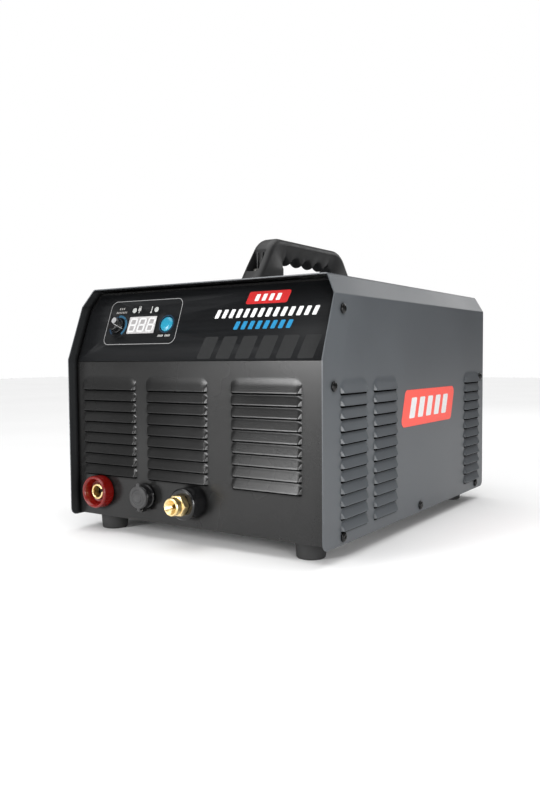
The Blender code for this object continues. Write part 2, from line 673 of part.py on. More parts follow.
def make_control_socket():
    at = (CONTROL_X, PANEL_Y, CONNECTOR_Z)
    body = [
        (11.2 * MM, 10.8 * MM), (12 * MM, 10 * MM), (12 * MM, 3 * MM), (13.2 * MM, 2.4 * MM), (13.2 * MM, GAP),
        (10 * MM, GAP), (10 * MM, -12 * MM), (5 * MM, -12 * MM), (5 * MM, -2 * MM), (8.6 * MM, -2 * MM),
        (8.6 * MM, 10.8 * MM),
    ]
    socket = turned("control_socket_body", body, BLACK_PLASTIC, at, FRONT_TURN, steps=20)
    ear = [(-15.6, 3.8), (-10.6, 3.8), (-10.6, 10.2), (-12.6, 10.2), (-12.6, 12), (-13.2, 12.6), (-15, 12.6)]
    ear = [(y * MM, z * MM) for y, z in ear + [(-15.6, 12)]]
    bm = bmesh.new()
    for side in (-1, 1):
        outline_block(bm, ear, side * 2.4 * MM, side * 4.4 * MM, lambda y, z, x: (x, y, z))
    boolean(socket, add_tool("hinge_ears", mesh_of(bm, "hinge_ears"), at, FRONT_TURN), "UNION")
    pin_place = (0, -13.8 * MM, 11 * MM)
    across = Matrix.Translation(pin_place) @ Matrix.Rotation(math.pi / 2, 4, "Y")
    bm = bmesh.new()
    put_rod(bm, 1.1 * MM, -9 * MM, 9 * MM, sides=10, turn=across)
    boolean(socket, add_tool("hinge_bore", mesh_of(bm, "hinge_bore"), at, FRONT_TURN), "DIFFERENCE")

    hinge = add_empty("cap_hinge", (CONTROL_X, PANEL_Y - pin_place[2], CONNECTOR_Z + pin_place[1]), FRONT_TURN)
    bm = bmesh.new()
    put_rod(bm, 0.8 * MM, -4.6 * MM, 4.6 * MM, sides=10, turn=Matrix.Rotation(math.pi / 2, 4, "Y"))
    add_piece("control_socket_pin", smooth(mesh_of(bm, "control_socket_pin")), ZINC, parent=hinge)

    rise = -pin_place[1]
    cap = [
        (0, 3.3 * MM), (4.6 * MM, 3.3 * MM), (5.4 * MM, 2.7 * MM), (8 * MM, 2.7 * MM), (8.8 * MM, 3.3 * MM),
        (11.3 * MM, 3.3 * MM), (12.3 * MM, 2.4 * MM), (12.3 * MM, 0.1 * MM), (0, 0.1 * MM),
    ]
    lid = turned("control_socket_cap", cap, RUBBER, (0, rise, 0), (0, 0, 0), steps=20, ring=False, parent=hinge)
    bm = bmesh.new()
    put_block(bm, (4 * MM, 8 * MM, 1.8 * MM), (0, rise + 11 * MM, 1.6 * MM))
    put_block(bm, (4 * MM, 5.2 * MM, 1.4 * MM), (0, 2.4 * MM, 1.1 * MM))
    boolean(lid, add_tool("cap_tabs", mesh_of(bm, "cap_tabs"), parent=hinge), "UNION")
    bm = bmesh.new()
    put_rod(bm, 1.75 * MM, -1.9 * MM, 1.9 * MM, sides=12, turn=Matrix.Rotation(math.pi / 2, 4, "Y"))
    boolean(lid, add_tool("cap_knuckle", mesh_of(bm, "cap_knuckle"), parent=hinge), "UNION")
    bm = bmesh.new()
    put_rod(bm, 1.1 * MM, -9 * MM, 9 * MM, sides=10, turn=Matrix.Rotation(math.pi / 2, 4, "Y"))
    boolean(lid, add_tool("cap_pin_bore", mesh_of(bm, "cap_pin_bore"), parent=hinge), "DIFFERENCE")


def make_torch_socket():
    at = (TORCH_X, PANEL_Y, CONNECTOR_Z)
    collar = [
        (15.2 * MM, 20.3 * MM), (16.4 * MM, 19.1 * MM), (16.4 * MM, GAP), (12 * MM, GAP), (12 * MM, -10 * MM),
        (9.8 * MM, -10 * MM), (9.8 * MM, 20.3 * MM),
    ]
    turned("torch_socket_collar", collar, BLACK_PLASTIC, at, FRONT_TURN, steps=24)
    tip = 37.2 * MM
    fitting = [
        (8.2 * MM, tip), (9.2 * MM, tip - 1 * MM), (9.2 * MM, 28.5 * MM), (9.2 * MM, -18 * MM),
        (2.4 * MM, -18 * MM), (2.4 * MM, tip - 5 * MM), (7.6 * MM, tip),
    ]
    brass = turned("torch_socket_fitting", fitting, BRASS, at, FRONT_TURN, steps=24)
    bm = bmesh.new()
    put_hexagon(bm, 20 * MM, 20.6 * MM, 28.8 * MM)
    hexagon = add_tool("torch_hexagon", mesh_of(bm, "torch_hexagon"), at, FRONT_TURN)
    hollow = add_tool("torch_hexagon_bore", rods_mesh("bore", [(0, 0, 6 * MM, 10 * MM, 40 * MM, 16)]), at, FRONT_TURN)
    boolean(hexagon, hollow, "DIFFERENCE")
    boolean(brass, hexagon, "UNION")
    nut_at = (TORCH_X, PANEL_Y + SHEET + GAP, CONNECTOR_Z)
    hex_nut("torch_socket_nut", nut_at, FRONT_TURN, 32 * MM, 6 * MM, 12.4 * MM, BRASS)


# ---------------------------------------------------------------- controls

def make_overlay():
    half = LINING - 2.2 * MM
    corner = 12 * MM
    points = [
        (-half, OVERLAY_BOTTOM), (half, OVERLAY_BOTTOM), (half, OVERLAY_TOP - 2 * corner),
        (half - corner, OVERLAY_TOP), (-half + corner, OVERLAY_TOP), (-half, OVERLAY_TOP - 2 * corner),
    ]
    bm = bmesh.new()
    outline_block(bm, points, GAP, OVERLAY_LIFT, lambda x, y, z: (x, y, z))
    overlay = add_piece("control_overlay", mesh_of(bm, "control_overlay"), OVERLAY_BLACK, parent=LEAN_FACE)
    boolean(overlay, add_tool("overlay_bores", control_bores(0.8 * MM), parent=LEAN_FACE), "DIFFERENCE")


def make_controls():
    plane = (0, 0, 0)
    display = block_mesh("display_module", (*DISPLAY_SIZE, 11.6 * MM), (0, 0, -5.3 * MM))
    add_piece("display_module", display, DISPLAY_WHITE, (*DISPLAY_AT, 0), parent=LEAN_FACE)

    lamp = [(0, 0.9 * MM), (2.4 * MM, 0.85 * MM), (LAMP_RADIUS, 0.5 * MM), (LAMP_RADIUS, -5 * MM), (0, -5 * MM)]
    for name, place in (("power_indicator", POWER_LAMP_AT), ("overheat_indicator", HEAT_LAMP_AT)):
        turned(name, lamp, LAMP_WHITE, (*place, 0), plane, steps=16, ring=False, parent=LEAN_FACE)

    cap = [
        (0, 2.6 * MM), (5.2 * MM, 2.3 * MM), (7.6 * MM, 1.5 * MM), (BUTTON_RADIUS, 0.4 * MM),
        (BUTTON_RADIUS, -4.5 * MM), (3 * MM, -4.5 * MM), (3 * MM, -9 * MM), (0, -9 * MM),
    ]
    turned("gas_test_button", cap, BLUE_CAP, (*BUTTON_AT, 0), plane, steps=24, ring=False, parent=LEAN_FACE)

    spindle = add_empty("knob_axis", (*KNOB_AT, 0))
    spindle.parent = LEAN_FACE
    knob = [
        (0, 9.4 * MM), (5.4 * MM, 9.2 * MM), (7.3 * MM, 8.2 * MM), (7.7 * MM, 7 * MM), (KNOB_RADIUS, 1.2 * MM),
        (3.3 * MM, 1.2 * MM), (3.3 * MM, 7 * MM), (0, 7 * MM),
    ]
    turned("current_knob", knob, BLACK_PLASTIC, (0, 0, 0), plane, steps=24, ring=False, parent=spindle)
    shaft = [(0, 6.6 * MM), (3 * MM, 6.6 * MM), (3 * MM, -9 * MM), (0, -9 * MM)]
    turned("potentiometer_shaft", shaft, ZINC, (0, 0, 0), plane, steps=16, ring=False, parent=spindle)
    body = [
        (3.8 * MM, 0.6 * MM), (3.8 * MM, -2 * MM), (8 * MM, -2 * MM), (8 * MM, -11.6 * MM),
        (3.3 * MM, -11.6 * MM), (3.3 * MM, 0.6 * MM),
    ]
    turned("potentiometer_body", body, ZINC, (*KNOB_AT, 0), plane, steps=20, parent=LEAN_FACE)

    board = block_mesh("control_board", (116 * MM, 60 * MM, 1.6 * MM), (0, 0, -12.8 * MM))
    add_piece("control_board", board, BOARD_GREEN, (-78 * MM, 43 * MM, 0), parent=LEAN_FACE)


# ---------------------------------------------------------------- rear fittings

def make_fan():
    centre = (FAN_AT[0], BACK_Y - SHEET - GAP - FAN_DEPTH / 2, FAN_AT[1])
    spin = add_empty("fan_axis", centre, REAR_TURN)
    half = FAN_DEPTH / 2
    housing = block_mesh("fan_housing", (FAN_SIZE, FAN_SIZE, FAN_DEPTH))
    frame = add_piece("fan_housing", housing, BLACK_PLASTIC, parent=spin)
    rods = [(0, 0, FAN_BORE, -half - 5 * MM, half + 5 * MM, 40)]
    boolean(frame, add_tool("fan_bore", rods_mesh("fan_bore", rods), parent=spin), "DIFFERENCE")
    bm = bmesh.new()
    put_rod(bm, 20 * MM, -half + 0.5 * MM, -half + 4 * MM, sides=24)
    mount = add_tool("fan_motor_mount", mesh_of(bm, "fan_motor_mount"), parent=spin)
    bm = bmesh.new()
    put_block(bm, (2 * FAN_BORE + 2 * MM, 5 * MM, 3 * MM), (0, 0, -half + 2.2 * MM))
    first = add_tool("fan_strut_level", mesh_of(bm, "fan_strut_level"), parent=spin)
    bm = bmesh.new()
    put_block(bm, (5 * MM, 2 * FAN_BORE + 2 * MM, 2.8 * MM), (0, 0, -half + 2.25 * MM))
    second = add_tool("fan_strut_upright", mesh_of(bm, "fan_strut_upright"), parent=spin)
    for piece in (mount, first, second):
        boolean(frame, piece, "UNION")

    rotor = add_piece("fan_rotor", rods_mesh("fan_rotor", [(0, 0, 20 * MM, -7.5 * MM, 11 * MM, 28)]),
                      BLACK_PLASTIC, parent=spin)
    bm = bmesh.new()
    blades = 7
    for number in range(blades):
        turn = Matrix.Rotation(2 * math.pi * number / blades, 4, "Z")
        turn = turn @ Matrix.Translation((36 * MM, 0, 1.75 * MM)) @ Matrix.Rotation(math.radians(32), 4, "X")
        made = put_block(bm, (36 * MM, 26 * MM, 1.6 * MM), (0, 0, 0))
        bmesh.ops.transform(bm, matrix=turn, verts=made)
    boolean(rotor, add_tool("fan_blades", mesh_of(bm, "fan_blades"), parent=spin), "UNION")

    wire = 1.1 * MM
    lift = half + GAP + SHEET + GAP + wire
    rings = (14 * MM, 28 * MM, 42 * MM, 56 * MM)
    guard = None
    for number, radius in enumerate(rings):
        ring_wire = ring_mesh(f"guard_ring_{number}", radius, wire, 24, 4)
        if guard is None:
            guard = add_piece("fan_guard", ring_wire, ZINC, (0, 0, lift), parent=spin)
        else:
            boolean(guard, add_tool(f"guard_ring_{number}", ring_wire, (0, 0, lift), parent=spin), "UNION")
    for number, angle in enumerate((45, 135)):
        bm = bmesh.new()
        turn = Matrix.Rotation(math.radians(angle), 4, "Z") @ Matrix.Rotation(math.pi / 2, 4, "X")
        put_rod(bm, wire, -76 * MM, 76 * MM, sides=4, turn=turn)
        bar = add_tool(f"guard_bar_{number}", mesh_of(bm, f"guard_bar_{number}"), (0, 0, lift), parent=spin)
        boolean(guard, bar, "UNION")


def ring_mesh(name, radius, wire, around, sides):
    """A wire ring: a small polygon carried round the axis."""
    bm = bmesh.new()
    loop = [bm.verts.new((radius + x, 0, z)) for x, z in arc((0, 0), wire, 15, 375 - 360 / sides, sides - 1)]
    edges = [bm.edges.new((loop[step], loop[(step + 1) % sides])) for step in range(sides)]
    bmesh.ops.spin(bm, geom=loop + edges, cent=(0, 0, 0), axis=(0, 0, 1), angle=2 * math.pi, steps=around,
                   use_merge=True)
    bmesh.ops.remove_doubles(bm, verts=bm.verts, dist=0.00001)
    return mesh_of(bm, name)


def make_power_switch():
    at = (SWITCH_AT[0], BACK_Y, SWITCH_AT[1])
    body = block_mesh("power_switch_body", (28 * MM, 22 * MM, 26 * MM), (0, 0, -12.6 * MM))
    switch = add_piece("power_switch_body", body, BLACK_PLASTIC, at, REAR_TURN)
    bezel = block_mesh("switch_bezel", (32 * MM, 26 * MM, 2.4 * MM), (0, 0, 1.5 * MM), bevel=0.6 * MM)
    boolean(switch, add_tool("switch_bezel", bezel, at, REAR_TURN), "UNION")
    well = block_mesh("switch_well", (24 * MM, 18 * MM, 16 * MM), (0, 0, -3 * MM))
    boolean(switch, add_tool("switch_well", well, at, REAR_TURN), "DIFFERENCE")

    pivot = add_empty("rocker_axis", (at[0], BACK_Y + 1 * MM, at[2]), REAR_TURN)
    radius = 10 * MM
    points = [(-11 * MM, 4.2 * MM)] + arc((0, 0), radius, 200, 340, 8) + [(11 * MM, 1 * MM), (0.4 * MM, 2.4 * MM)]
    bm = bmesh.new()
    outline_block(bm, points, -8.4 * MM, 8.4 * MM, lambda x, z, y: (x, y, z))
    add_piece("power_rocker", mesh_of(bm, "power_rocker"), RED_PLASTIC, parent=pivot)


def make_rear_fittings():
    gland = [
        (9.5 * MM, 23 * MM), (12.5 * MM, 19.5 * MM), (13.2 * MM, 18 * MM), (13.2 * MM, 8.6 * MM),
        (15 * MM, 8 * MM), (15 * MM, GAP), (10.2 * MM, GAP), (10.2 * MM, -12 * MM), (6.6 * MM, -12 * MM),
        (6.6 * MM, 23 * MM),
    ]
    turned("mains_gland", gland, BLACK_PLASTIC, (GLAND_AT[0], BACK_Y, GLAND_AT[1]), REAR_TURN, steps=20)
    inlet = [
        (4.6 * MM, 26 * MM), (5.8 * MM, 25 * MM), (5.8 * MM, 22 * MM), (4.8 * MM, 20.5 * MM), (5.9 * MM, 18.5 * MM),
        (5.9 * MM, 9 * MM), (10.4 * MM, 8.6 * MM), (10.4 * MM, GAP), (6.8 * MM, GAP), (6.8 * MM, -16 * MM),
        (3 * MM, -16 * MM), (3 * MM, 26 * MM),
    ]
    turned("air_inlet", inlet, BRASS, (INLET_AT[0], BACK_Y, INLET_AT[1]), REAR_TURN, steps=16)
    stud = [
        (0, 14 * MM), (3 * MM, 14 * MM), (3 * MM, 6 * MM), (6.2 * MM, 6 * MM), (6.2 * MM, GAP), (3 * MM, GAP),
        (3 * MM, -8 * MM), (0, -8 * MM),
    ]
    turned("earth_stud", stud, BRASS, (EARTH_AT[0], BACK_Y, EARTH_AT[1]), REAR_TURN, steps=12, ring=False)


# ---------------------------------------------------------------- power stage

def make_power_stage():
    floor = PAN_DROP + SHEET + GAP
    sink_x = -70 * MM
    sink_y = FRONT_Y + 222 * MM
    length = 210 * MM
    width = 118 * MM
    sink_top = floor + 78 * MM
    base = block_mesh("heat_sink", (width, length, 8 * MM), (0, 0, -4 * MM))
    sink = add_piece("heat_sink", base, ALUMINIUM, (sink_x, sink_y, sink_top))
    bm = bmesh.new()
    fins = 9
    for number in range(fins):
        offset = (number - (fins - 1) / 2) * (width - 4 * MM) / (fins - 1)
        drop = sink_top - floor if number in (0, fins - 1) else 64 * MM
        put_block(bm, (2.4 * MM, length - 0.6 * MM, drop - 5 * MM), (offset, 0, -5 * MM - (drop - 5 * MM) / 2))
    boolean(sink, add_tool("heat_sink_fins", mesh_of(bm, "heat_sink_fins"), (sink_x, sink_y, sink_top)), "UNION")

    board_low = sink_top + GAP
    board = block_mesh("power_board", (180 * MM, 250 * MM, 1.6 * MM), (0, 0, 0.8 * MM))
    add_piece("power_board", board, BOARD_GREEN, (-50 * MM, sink_y, board_low))

    can = [
        (0, 45 * MM), (15.8 * MM, 45 * MM), (17 * MM, 43.8 * MM), (17 * MM, 0), (0, 0),
    ]
    can_low = board_low + 1.6 * MM + GAP
    for word, shift in (("left", -85 * MM), ("right", -35 * MM)):
        turned(f"bus_capacitor_{word}", can, CAPACITOR_SLEEVE, (shift, sink_y - 70 * MM, can_low), (0, 0, 0),
               steps=24, ring=False)

    core_at = (102 * MM, FRONT_Y + 180 * MM, floor)
    core = block_mesh("transformer", (70 * MM, 36 * MM, 66 * MM), (0, 0, 33 * MM), bevel=1.5 * MM)
    transformer = add_piece("transformer", core, DARK_FERRITE, core_at)
    coil = block_mesh("transformer_coil", (44 * MM, 62 * MM, 44 * MM), (0, 0, 33 * MM), bevel=8 * MM, segments=2)
    boolean(transformer, add_tool("transformer_coil", coil, core_at), "UNION")

    valve_at = (INLET_AT[0], FRONT_Y + 372 * MM, INLET_AT[1])
    valve = [
        (8 * MM, 46 * MM), (8 * MM, 27 * MM), (12 * MM, 27 * MM), (12 * MM, 9 * MM), (4.5 * MM, 9 * MM), (4.5 * MM, 0),
        (2 * MM, 0), (2 * MM, 46 * MM),
    ]
    body = turned("solenoid_valve", valve, BRASS, valve_at, REAR_TURN, steps=20)
    bm = bmesh.new()
    put_block(bm, (22 * MM, 30 * MM, 20 * MM), (0, -24 * MM, 18 * MM))
    boolean(body, add_tool("valve_coil", mesh_of(bm, "valve_coil"), valve_at, REAR_TURN), "UNION")

    start = Vector((TORCH_X, PANEL_Y + 18 * MM + GAP, CONNECTOR_Z))
    end = Vector((INLET_AT[0], valve_at[1] - GAP, INLET_AT[1]))
    tube_along("air_hose", start, end, 4 * MM, HOSE_BLACK)


def tube_along(name, start, end, radius, look):
    """A hose from start to end that leaves both along Y, as a smooth S-curve."""
    curve = bpy.data.curves.new(name, "CURVE")
    curve.dimensions = "3D"
    curve.bevel_depth = radius
    curve.bevel_resolution = 2
    curve.use_fill_caps = True
    line = curve.splines.new("POLY")
    steps = 18
    line.points.add(steps)
    for step in range(steps + 1):
        part = step / steps
        ease = part * part * (3 - 2 * part)
        place = Vector((start.x + (end.x - start.x) * ease, start.y + (end.y - start.y) * part,
                        start.z + (end.z - start.z) * ease))
        line.points[step].co = (*place, 1)
    curve.materials.append(look)
    hose = bpy.data.objects.new(name, curve)
    PARTS.objects.link(hose)


make_outer_cover()
make_base_pan()
make_front_panel()
make_rear_panel()
make_cover_screws()
make_handle()
make_feet()
make_work_socket()
make_control_socket()
make_torch_socket()
make_overlay()
make_controls()
make_fan()
make_power_switch()
make_rear_fittings()
make_power_stage()
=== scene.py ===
from math import atan, atan2, cos, pi, radians, sin, sqrt, tan

import bmesh
import bpy
from mathutils import Matrix, Vector


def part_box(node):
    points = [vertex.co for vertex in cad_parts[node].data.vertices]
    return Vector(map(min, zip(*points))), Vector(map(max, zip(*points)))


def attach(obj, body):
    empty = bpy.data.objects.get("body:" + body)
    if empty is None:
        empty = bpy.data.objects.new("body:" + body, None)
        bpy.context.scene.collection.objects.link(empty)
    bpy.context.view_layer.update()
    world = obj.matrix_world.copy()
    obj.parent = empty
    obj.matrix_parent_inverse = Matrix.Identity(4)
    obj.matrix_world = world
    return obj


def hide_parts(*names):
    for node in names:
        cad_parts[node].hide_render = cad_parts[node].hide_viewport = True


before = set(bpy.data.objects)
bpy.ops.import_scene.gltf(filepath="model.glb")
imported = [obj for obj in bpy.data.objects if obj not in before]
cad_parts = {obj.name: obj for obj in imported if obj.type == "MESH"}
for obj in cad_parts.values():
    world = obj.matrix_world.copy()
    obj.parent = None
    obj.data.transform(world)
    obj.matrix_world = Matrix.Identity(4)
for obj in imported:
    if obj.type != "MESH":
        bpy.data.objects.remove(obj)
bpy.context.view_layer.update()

MM = 0.001
TAU = 2 * pi
SQUARE = ((-1, -1), (1, -1), (1, 1), (-1, 1))


# ---- where things are, from the CAD

def low(node):
    return Vector(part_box(node)[0])


def high(node):
    return Vector(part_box(node)[1])


def middle(node):
    return (low(node) + high(node)) / 2


COVER_LOW = low("outer_cover")
COVER_HIGH = high("outer_cover")
LOUVRE_PROUD = 3.5 * MM
HALF = COVER_HIGH.x - LOUVRE_PROUD          # side walls
FLOOR_GAP = COVER_LOW.z                     # lower edge of the cover
TOP = COVER_HIGH.z
FRONT = COVER_LOW.y
REAR = COVER_HIGH.y
DEPTH = REAR - FRONT
SHOULDER = TOP - 20 * MM
CHAMFER = 12 * MM
COVER_KINK = FLOOR_GAP + 179 * MM
PANEL_KINK = FLOOR_GAP + 176.5 * MM
LEAN = 0.38
LEAN_ANGLE = atan(LEAN)
LINING = high("front_panel").x
PANEL_FACE = low("front_panel").y + LOUVRE_PROUD
PANEL_LOW = low("front_panel").z
PANEL_HIGH = high("front_panel").z
REAR_FACE = high("rear_panel").y
COVER_GAUGE = 1.2 * MM
PANEL_GAUGE = 1.5 * MM
LOUVRE_PITCH = 12 * MM
LOUVRE_SLIT = 2.0 * MM                      # opening left under each lip
SLIT_END = 1.6 * MM                         # how far a slit takes to open at its ends
SLIT_FLANGE = [(inward * MM, rise * MM) for inward, rise in ((2.2, 0), (2.9, 3.2), (2.9, 8.6), (1.2, 11))]
SLIT_LOOK = 2                               # the material slot of the surfaces behind the slits, which carry near-black painted shade
SEAM = 0.005 * MM                           # points of a sheet closer than this are joined
TOP_LIP = FLOOR_GAP + 145.5 * MM
SIDE_COLUMNS = ((33, 90), (104, 161), (370, 427))
SIDE_ROWS = 12
FRONT_COLUMNS = ((-156, -74), (-59, 25), (54.5, 138))
FRONT_ROWS = 9


def shift(x, y, z):
    return Matrix.Translation((x, y, z))


def turn_about(axis, angle):
    return Matrix.Rotation(angle, 4, axis)


FRONT_TURN = turn_about("X", pi / 2)           # local +Z to the front
REAR_TURN = turn_about("X", -pi / 2)           # local +Z to the rear
LEAN_PLACE = shift(0, PANEL_FACE, PANEL_KINK) @ turn_about("X", pi / 2 - LEAN_ANGLE)


def on_lean(x, up, out=0.0):
    """A place on the leaning face: across, up the slope from the kink, and out from it."""
    return LEAN_PLACE @ shift(x, up, out)


CONTROL_UP = {"current_knob": 42.5, "display_module": 43.2, "gas_test_button": 43.2, "power_indicator": 61.1,
              "overheat_indicator": 61.1}    # mm up the slope from the bend


def lean_spot(node):
    """Across and up-slope place of a control's axis on the leaning face."""
    return middle(node).x, CONTROL_UP[node] * MM


# ---- shapes

def in_mm(places):
    """The same places, from millimetres to metres."""
    return [tuple(value * MM for value in place) for place in places]


def rounded(corners, steps=4, closed=False):
    """Points along a line of (x, y, radius) corners, each turned into an arc of that radius."""
    points = []
    count = len(corners)
    for number, (x, y, radius) in enumerate(corners):
        here = Vector((x, y))
        if radius == 0 or (not closed and number in (0, count - 1)):
            points.append((x, y))
            continue
        back = Vector(corners[number - 1][:2]) - here
        ahead = Vector(corners[(number + 1) % count][:2]) - here
        half_angle = back.angle(ahead) / 2
        reach = min(radius / tan(half_angle), back.length * 0.49, ahead.length * 0.49)
        radius = reach * tan(half_angle)
        centre = here + (back.normalized() + ahead.normalized()).normalized() * radius / sin(half_angle)
        start = here + back.normalized() * reach - centre
        end = here + ahead.normalized() * reach - centre
        sweep = start.angle_signed(end)
        for step in range(steps + 1):
            turn = Matrix.Rotation(-sweep * step / steps, 2)
            points.append(tuple(centre + turn @ start))
    return points


def ring_of(bm, places):
    return [bm.verts.new(place) for place in places]


def circle(radius, steps, centre=(0, 0)):
    """Points evenly around a circle."""
    angles = [TAU * step / steps for step in range(steps)]
    return [(centre[0] + radius * cos(angle), centre[1] + radius * sin(angle)) for angle in angles]


def skin(bm, rings, closed_ring=True, closed_run=False):
    """Quads between neighbouring rings of equal length; a ring of one corner closes to a point."""
    runs = list(zip(rings, rings[1:]))
    if closed_run:
        runs.append((rings[-1], rings[0]))
    for first, second in runs:
        count = max(len(first), len(second))
        for step in range(count if closed_ring else count - 1):
            after = (step + 1) % count
            corners = [first[step % len(first)], first[after % len(first)], second[after % len(second)],
                       second[step % len(second)]]
            unique = list(dict.fromkeys(corners))
            if len(unique) > 2:
                bm.faces.new(unique)


def capped(bm, rings):
    """Skins a run of rings and closes both of its ends."""
    skin(bm, rings)
    bm.faces.new(list(reversed(rings[0])))
    bm.faces.new(rings[-1])


def lathe(bm, profile, steps=64, closed=False, matrix=Matrix(), cut=None):
    """Turns (radius, height) points about local Z; cut(radius, height, angle) is taken off the radius."""
    rings = []
    for radius, height in profile:
        places = []
        for step in range(steps if radius > 1e-7 else 1):
            angle = TAU * step / steps
            reach = radius - cut(radius, height, angle) if cut else radius
            places.append((reach * cos(angle), reach * sin(angle), height))
        rings.append(ring_of(bm, places))
    skin(bm, rings, closed_run=closed)
    bmesh.ops.transform(bm, matrix=matrix, verts=[corner for ring in rings for corner in ring])


def turned(outline, bends=3, steps=64, **options):
    """A new solid turned about local Z from (radius, height, rounding) corners in mm."""
    bm = bmesh.new()
    lathe(bm, rounded(in_mm(outline), bends, options.get("closed", False)), steps, **options)
    return bm


def plug(radius, bottom, top, steps=32, matrix=Matrix()):
    """A new plain cylinder, in mm."""
    return turned([(0, bottom, 0), (radius, bottom, 0), (radius, top, 0), (0, top, 0)], steps=steps, matrix=matrix)


def grooves(count, depth, bottom, top, least, power=1):
    """A cut for lathe: grooves between two heights, where the radius is beyond the least one, in mm."""
    def cut(radius, height, angle):
        if bottom * MM < height < top * MM and radius > least * MM:
            return depth * MM * (0.5 + 0.5 * cos(count * angle)) ** power
        return 0.0
    return cut


def prism(bm, outline, bottom, top, matrix=Matrix()):
    """A straight block with the outline (x, y) points, from bottom to top in local Z."""
    rings = [ring_of(bm, [(x, y, height) for x, y in outline]) for height in (bottom, top)]
    capped(bm, rings)
    bmesh.ops.transform(bm, matrix=matrix, verts=rings[0] + rings[1])


def band(bm, outer, inner, bottom, top, matrix=Matrix(), closed=True):
    """A flat strip between two outlines with the same number of points."""
    rings = []
    for outline, height in ((outer, bottom), (outer, top), (inner, top), (inner, bottom)):
        rings.append(ring_of(bm, [(x, y, height) for x, y in outline]))
    skin(bm, rings, closed_ring=closed, closed_run=True)
    if not closed:
        bm.faces.new([ring[0] for ring in rings])
        bm.faces.new([ring[-1] for ring in reversed(rings)])
    bmesh.ops.transform(bm, matrix=matrix, verts=[corner for ring in rings for corner in ring])


def carved(bm, tools, operation="DIFFERENCE"):
    """The solid bm after an exact Boolean with each tool in turn."""
    holders = []
    for solid in [bm] + tools:
        bmesh.ops.recalc_face_normals(solid, faces=solid.faces)
        mesh = bpy.data.meshes.new("carving")
        solid.to_mesh(mesh)
        solid.free()
        holder = added("carving", mesh)
        holders.append(holder)
    for holder in holders[1:]:
        step = holders[0].modifiers.new("carve", "BOOLEAN")
        step.object = holder
        step.operation = operation
        step.solver = "EXACT"
    bpy.context.view_layer.update()
    result = bmesh.new()
    result.from_object(holders[0], bpy.context.evaluated_depsgraph_get())
    for holder in holders:
        mesh = holder.data
        bpy.data.objects.remove(holder)
        bpy.data.meshes.remove(mesh)
    return result


def box_outline(width, height, radius, centre=(0, 0), slant=0.0, steps=4):
    """A rounded rectangle; slant moves its upper edge sideways."""
    x, y = centre
    half = width / 2
    rise = height / 2
    corners = [(x - half - slant, y - rise, radius), (x + half - slant, y - rise, radius),
               (x + half + slant, y + rise, radius), (x - half + slant, y + rise, radius)]
    return rounded(corners, steps, closed=True)


def block(width, height, radius, bottom, top, centre=(0, 0), slant=0, steps=4, matrix=Matrix()):
    """A new rounded block, in mm, from bottom to top in local Z."""
    centre = (centre[0] * MM, centre[1] * MM)
    bm = bmesh.new()
    prism(bm, box_outline(width * MM, height * MM, radius * MM, centre, slant * MM, steps), bottom * MM, top * MM,
          matrix)
    return bm


def tube(bm, path, radius, sides=12, closed=False):
    """A round wire along a list of places."""
    rings = []
    count = len(path)
    normal = None
    for number, place in enumerate(path):
        if closed:
            along = path[(number + 1) % count] - path[number - 1]
        else:
            along = path[min(number + 1, count - 1)] - path[max(number - 1, 0)]
        along.normalize()
        if normal is None:
            normal = along.orthogonal().normalized()
        normal = (normal - along * normal.dot(along)).normalized()
        side = along.cross(normal)
        rings.append(ring_of(bm, [place + normal * x + side * y for x, y in circle(radius, sides)]))
    if closed:
        skin(bm, rings, closed_run=True)
    else:
        capped(bm, rings)


# ---- pieces

def added(name, data):
    """A new object in the scene."""
    thing = bpy.data.objects.new(name, data)
    bpy.context.scene.collection.objects.link(thing)
    return thing


def new_piece(name, bm, look, place=None, stands_for=(), body="chassis", crease=35, edge=None, repair=True):
    """Makes a piece of the bmesh, in place, riding on its body; edge is what soften takes."""
    if repair:
        bmesh.ops.recalc_face_normals(bm, faces=bm.faces)
    mesh = bpy.data.meshes.new(name)
    bm.to_mesh(mesh)
    bm.free()
    mesh.shade_smooth()
    mesh.set_sharp_from_angle(angle=radians(crease))
    mesh.materials.append(look)
    piece = added(name, mesh)
    settle(piece, body, stands_for, place)
    if edge:
        soften(piece, *edge)
    return piece


def settle(piece, body, stands_for, place):
    if place is not None:
        piece.matrix_world = place
    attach(piece, body)
    if stands_for:
        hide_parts(*stands_for)


def alike(bm, look, spots):
    """Pieces of the chassis with one mesh, for each (name, place, nodes)."""
    first = None
    for name, place, nodes in spots:
        if first is None:
            first = new_piece(name, bm, look, place, nodes)
            continue
        piece = added(name, first.data)
        settle(piece, "chassis", nodes, place)


def soften(piece, width, segments=2, angle=40):
    """Small rounding along the sharp edges; the width is in mm."""
    step = piece.modifiers.new("edges", "BEVEL")
    step.width = width * MM
    step.segments = segments
    step.limit_method = "ANGLE"
    step.angle_limit = radians(angle)


def sheet_piece(name, bm, look, node, thickness):
    """A pressed sheet, in one piece: its far side has a darker paint as painted shade, and the surfaces behind its
    slits a near-black painted shade.
    """
    piece = new_piece(name, bm, look, stands_for=[node], crease=50, repair=False)
    step = thicken(piece, thickness)
    # The inner faces take the darker painted-shade paint, the faces behind the slits the near-black painted shade.
    for inside in (INNER_PAINTED_SHADE, SLIT_PAINTED_SHADE):
        piece.data.materials.append(inside)
    step.material_offset = 1
    soften(piece, 0.25, 2, 60)
    step = piece.modifiers.new("shading", "WEIGHTED_NORMAL")      # large flat faces stay evenly shaded
    step.mode = "FACE_AREA"
    step.weight = 50
    step.keep_sharp = True


def thicken(piece, thickness):
    """Gives a sheet its thickness inwards."""
    step = piece.modifiers.new("thickness", "SOLIDIFY")
    step.thickness = thickness
    step.offset = -1.0
    step.use_even_offset = False
    return step


def paint(node, look, *edge):
    """Gives a carried-over CAD node its material, and softer edges where it has room for them."""
    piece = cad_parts[node]
    piece.data.materials.clear()
    piece.data.materials.append(look)
    if edge:
        soften(piece, *edge)


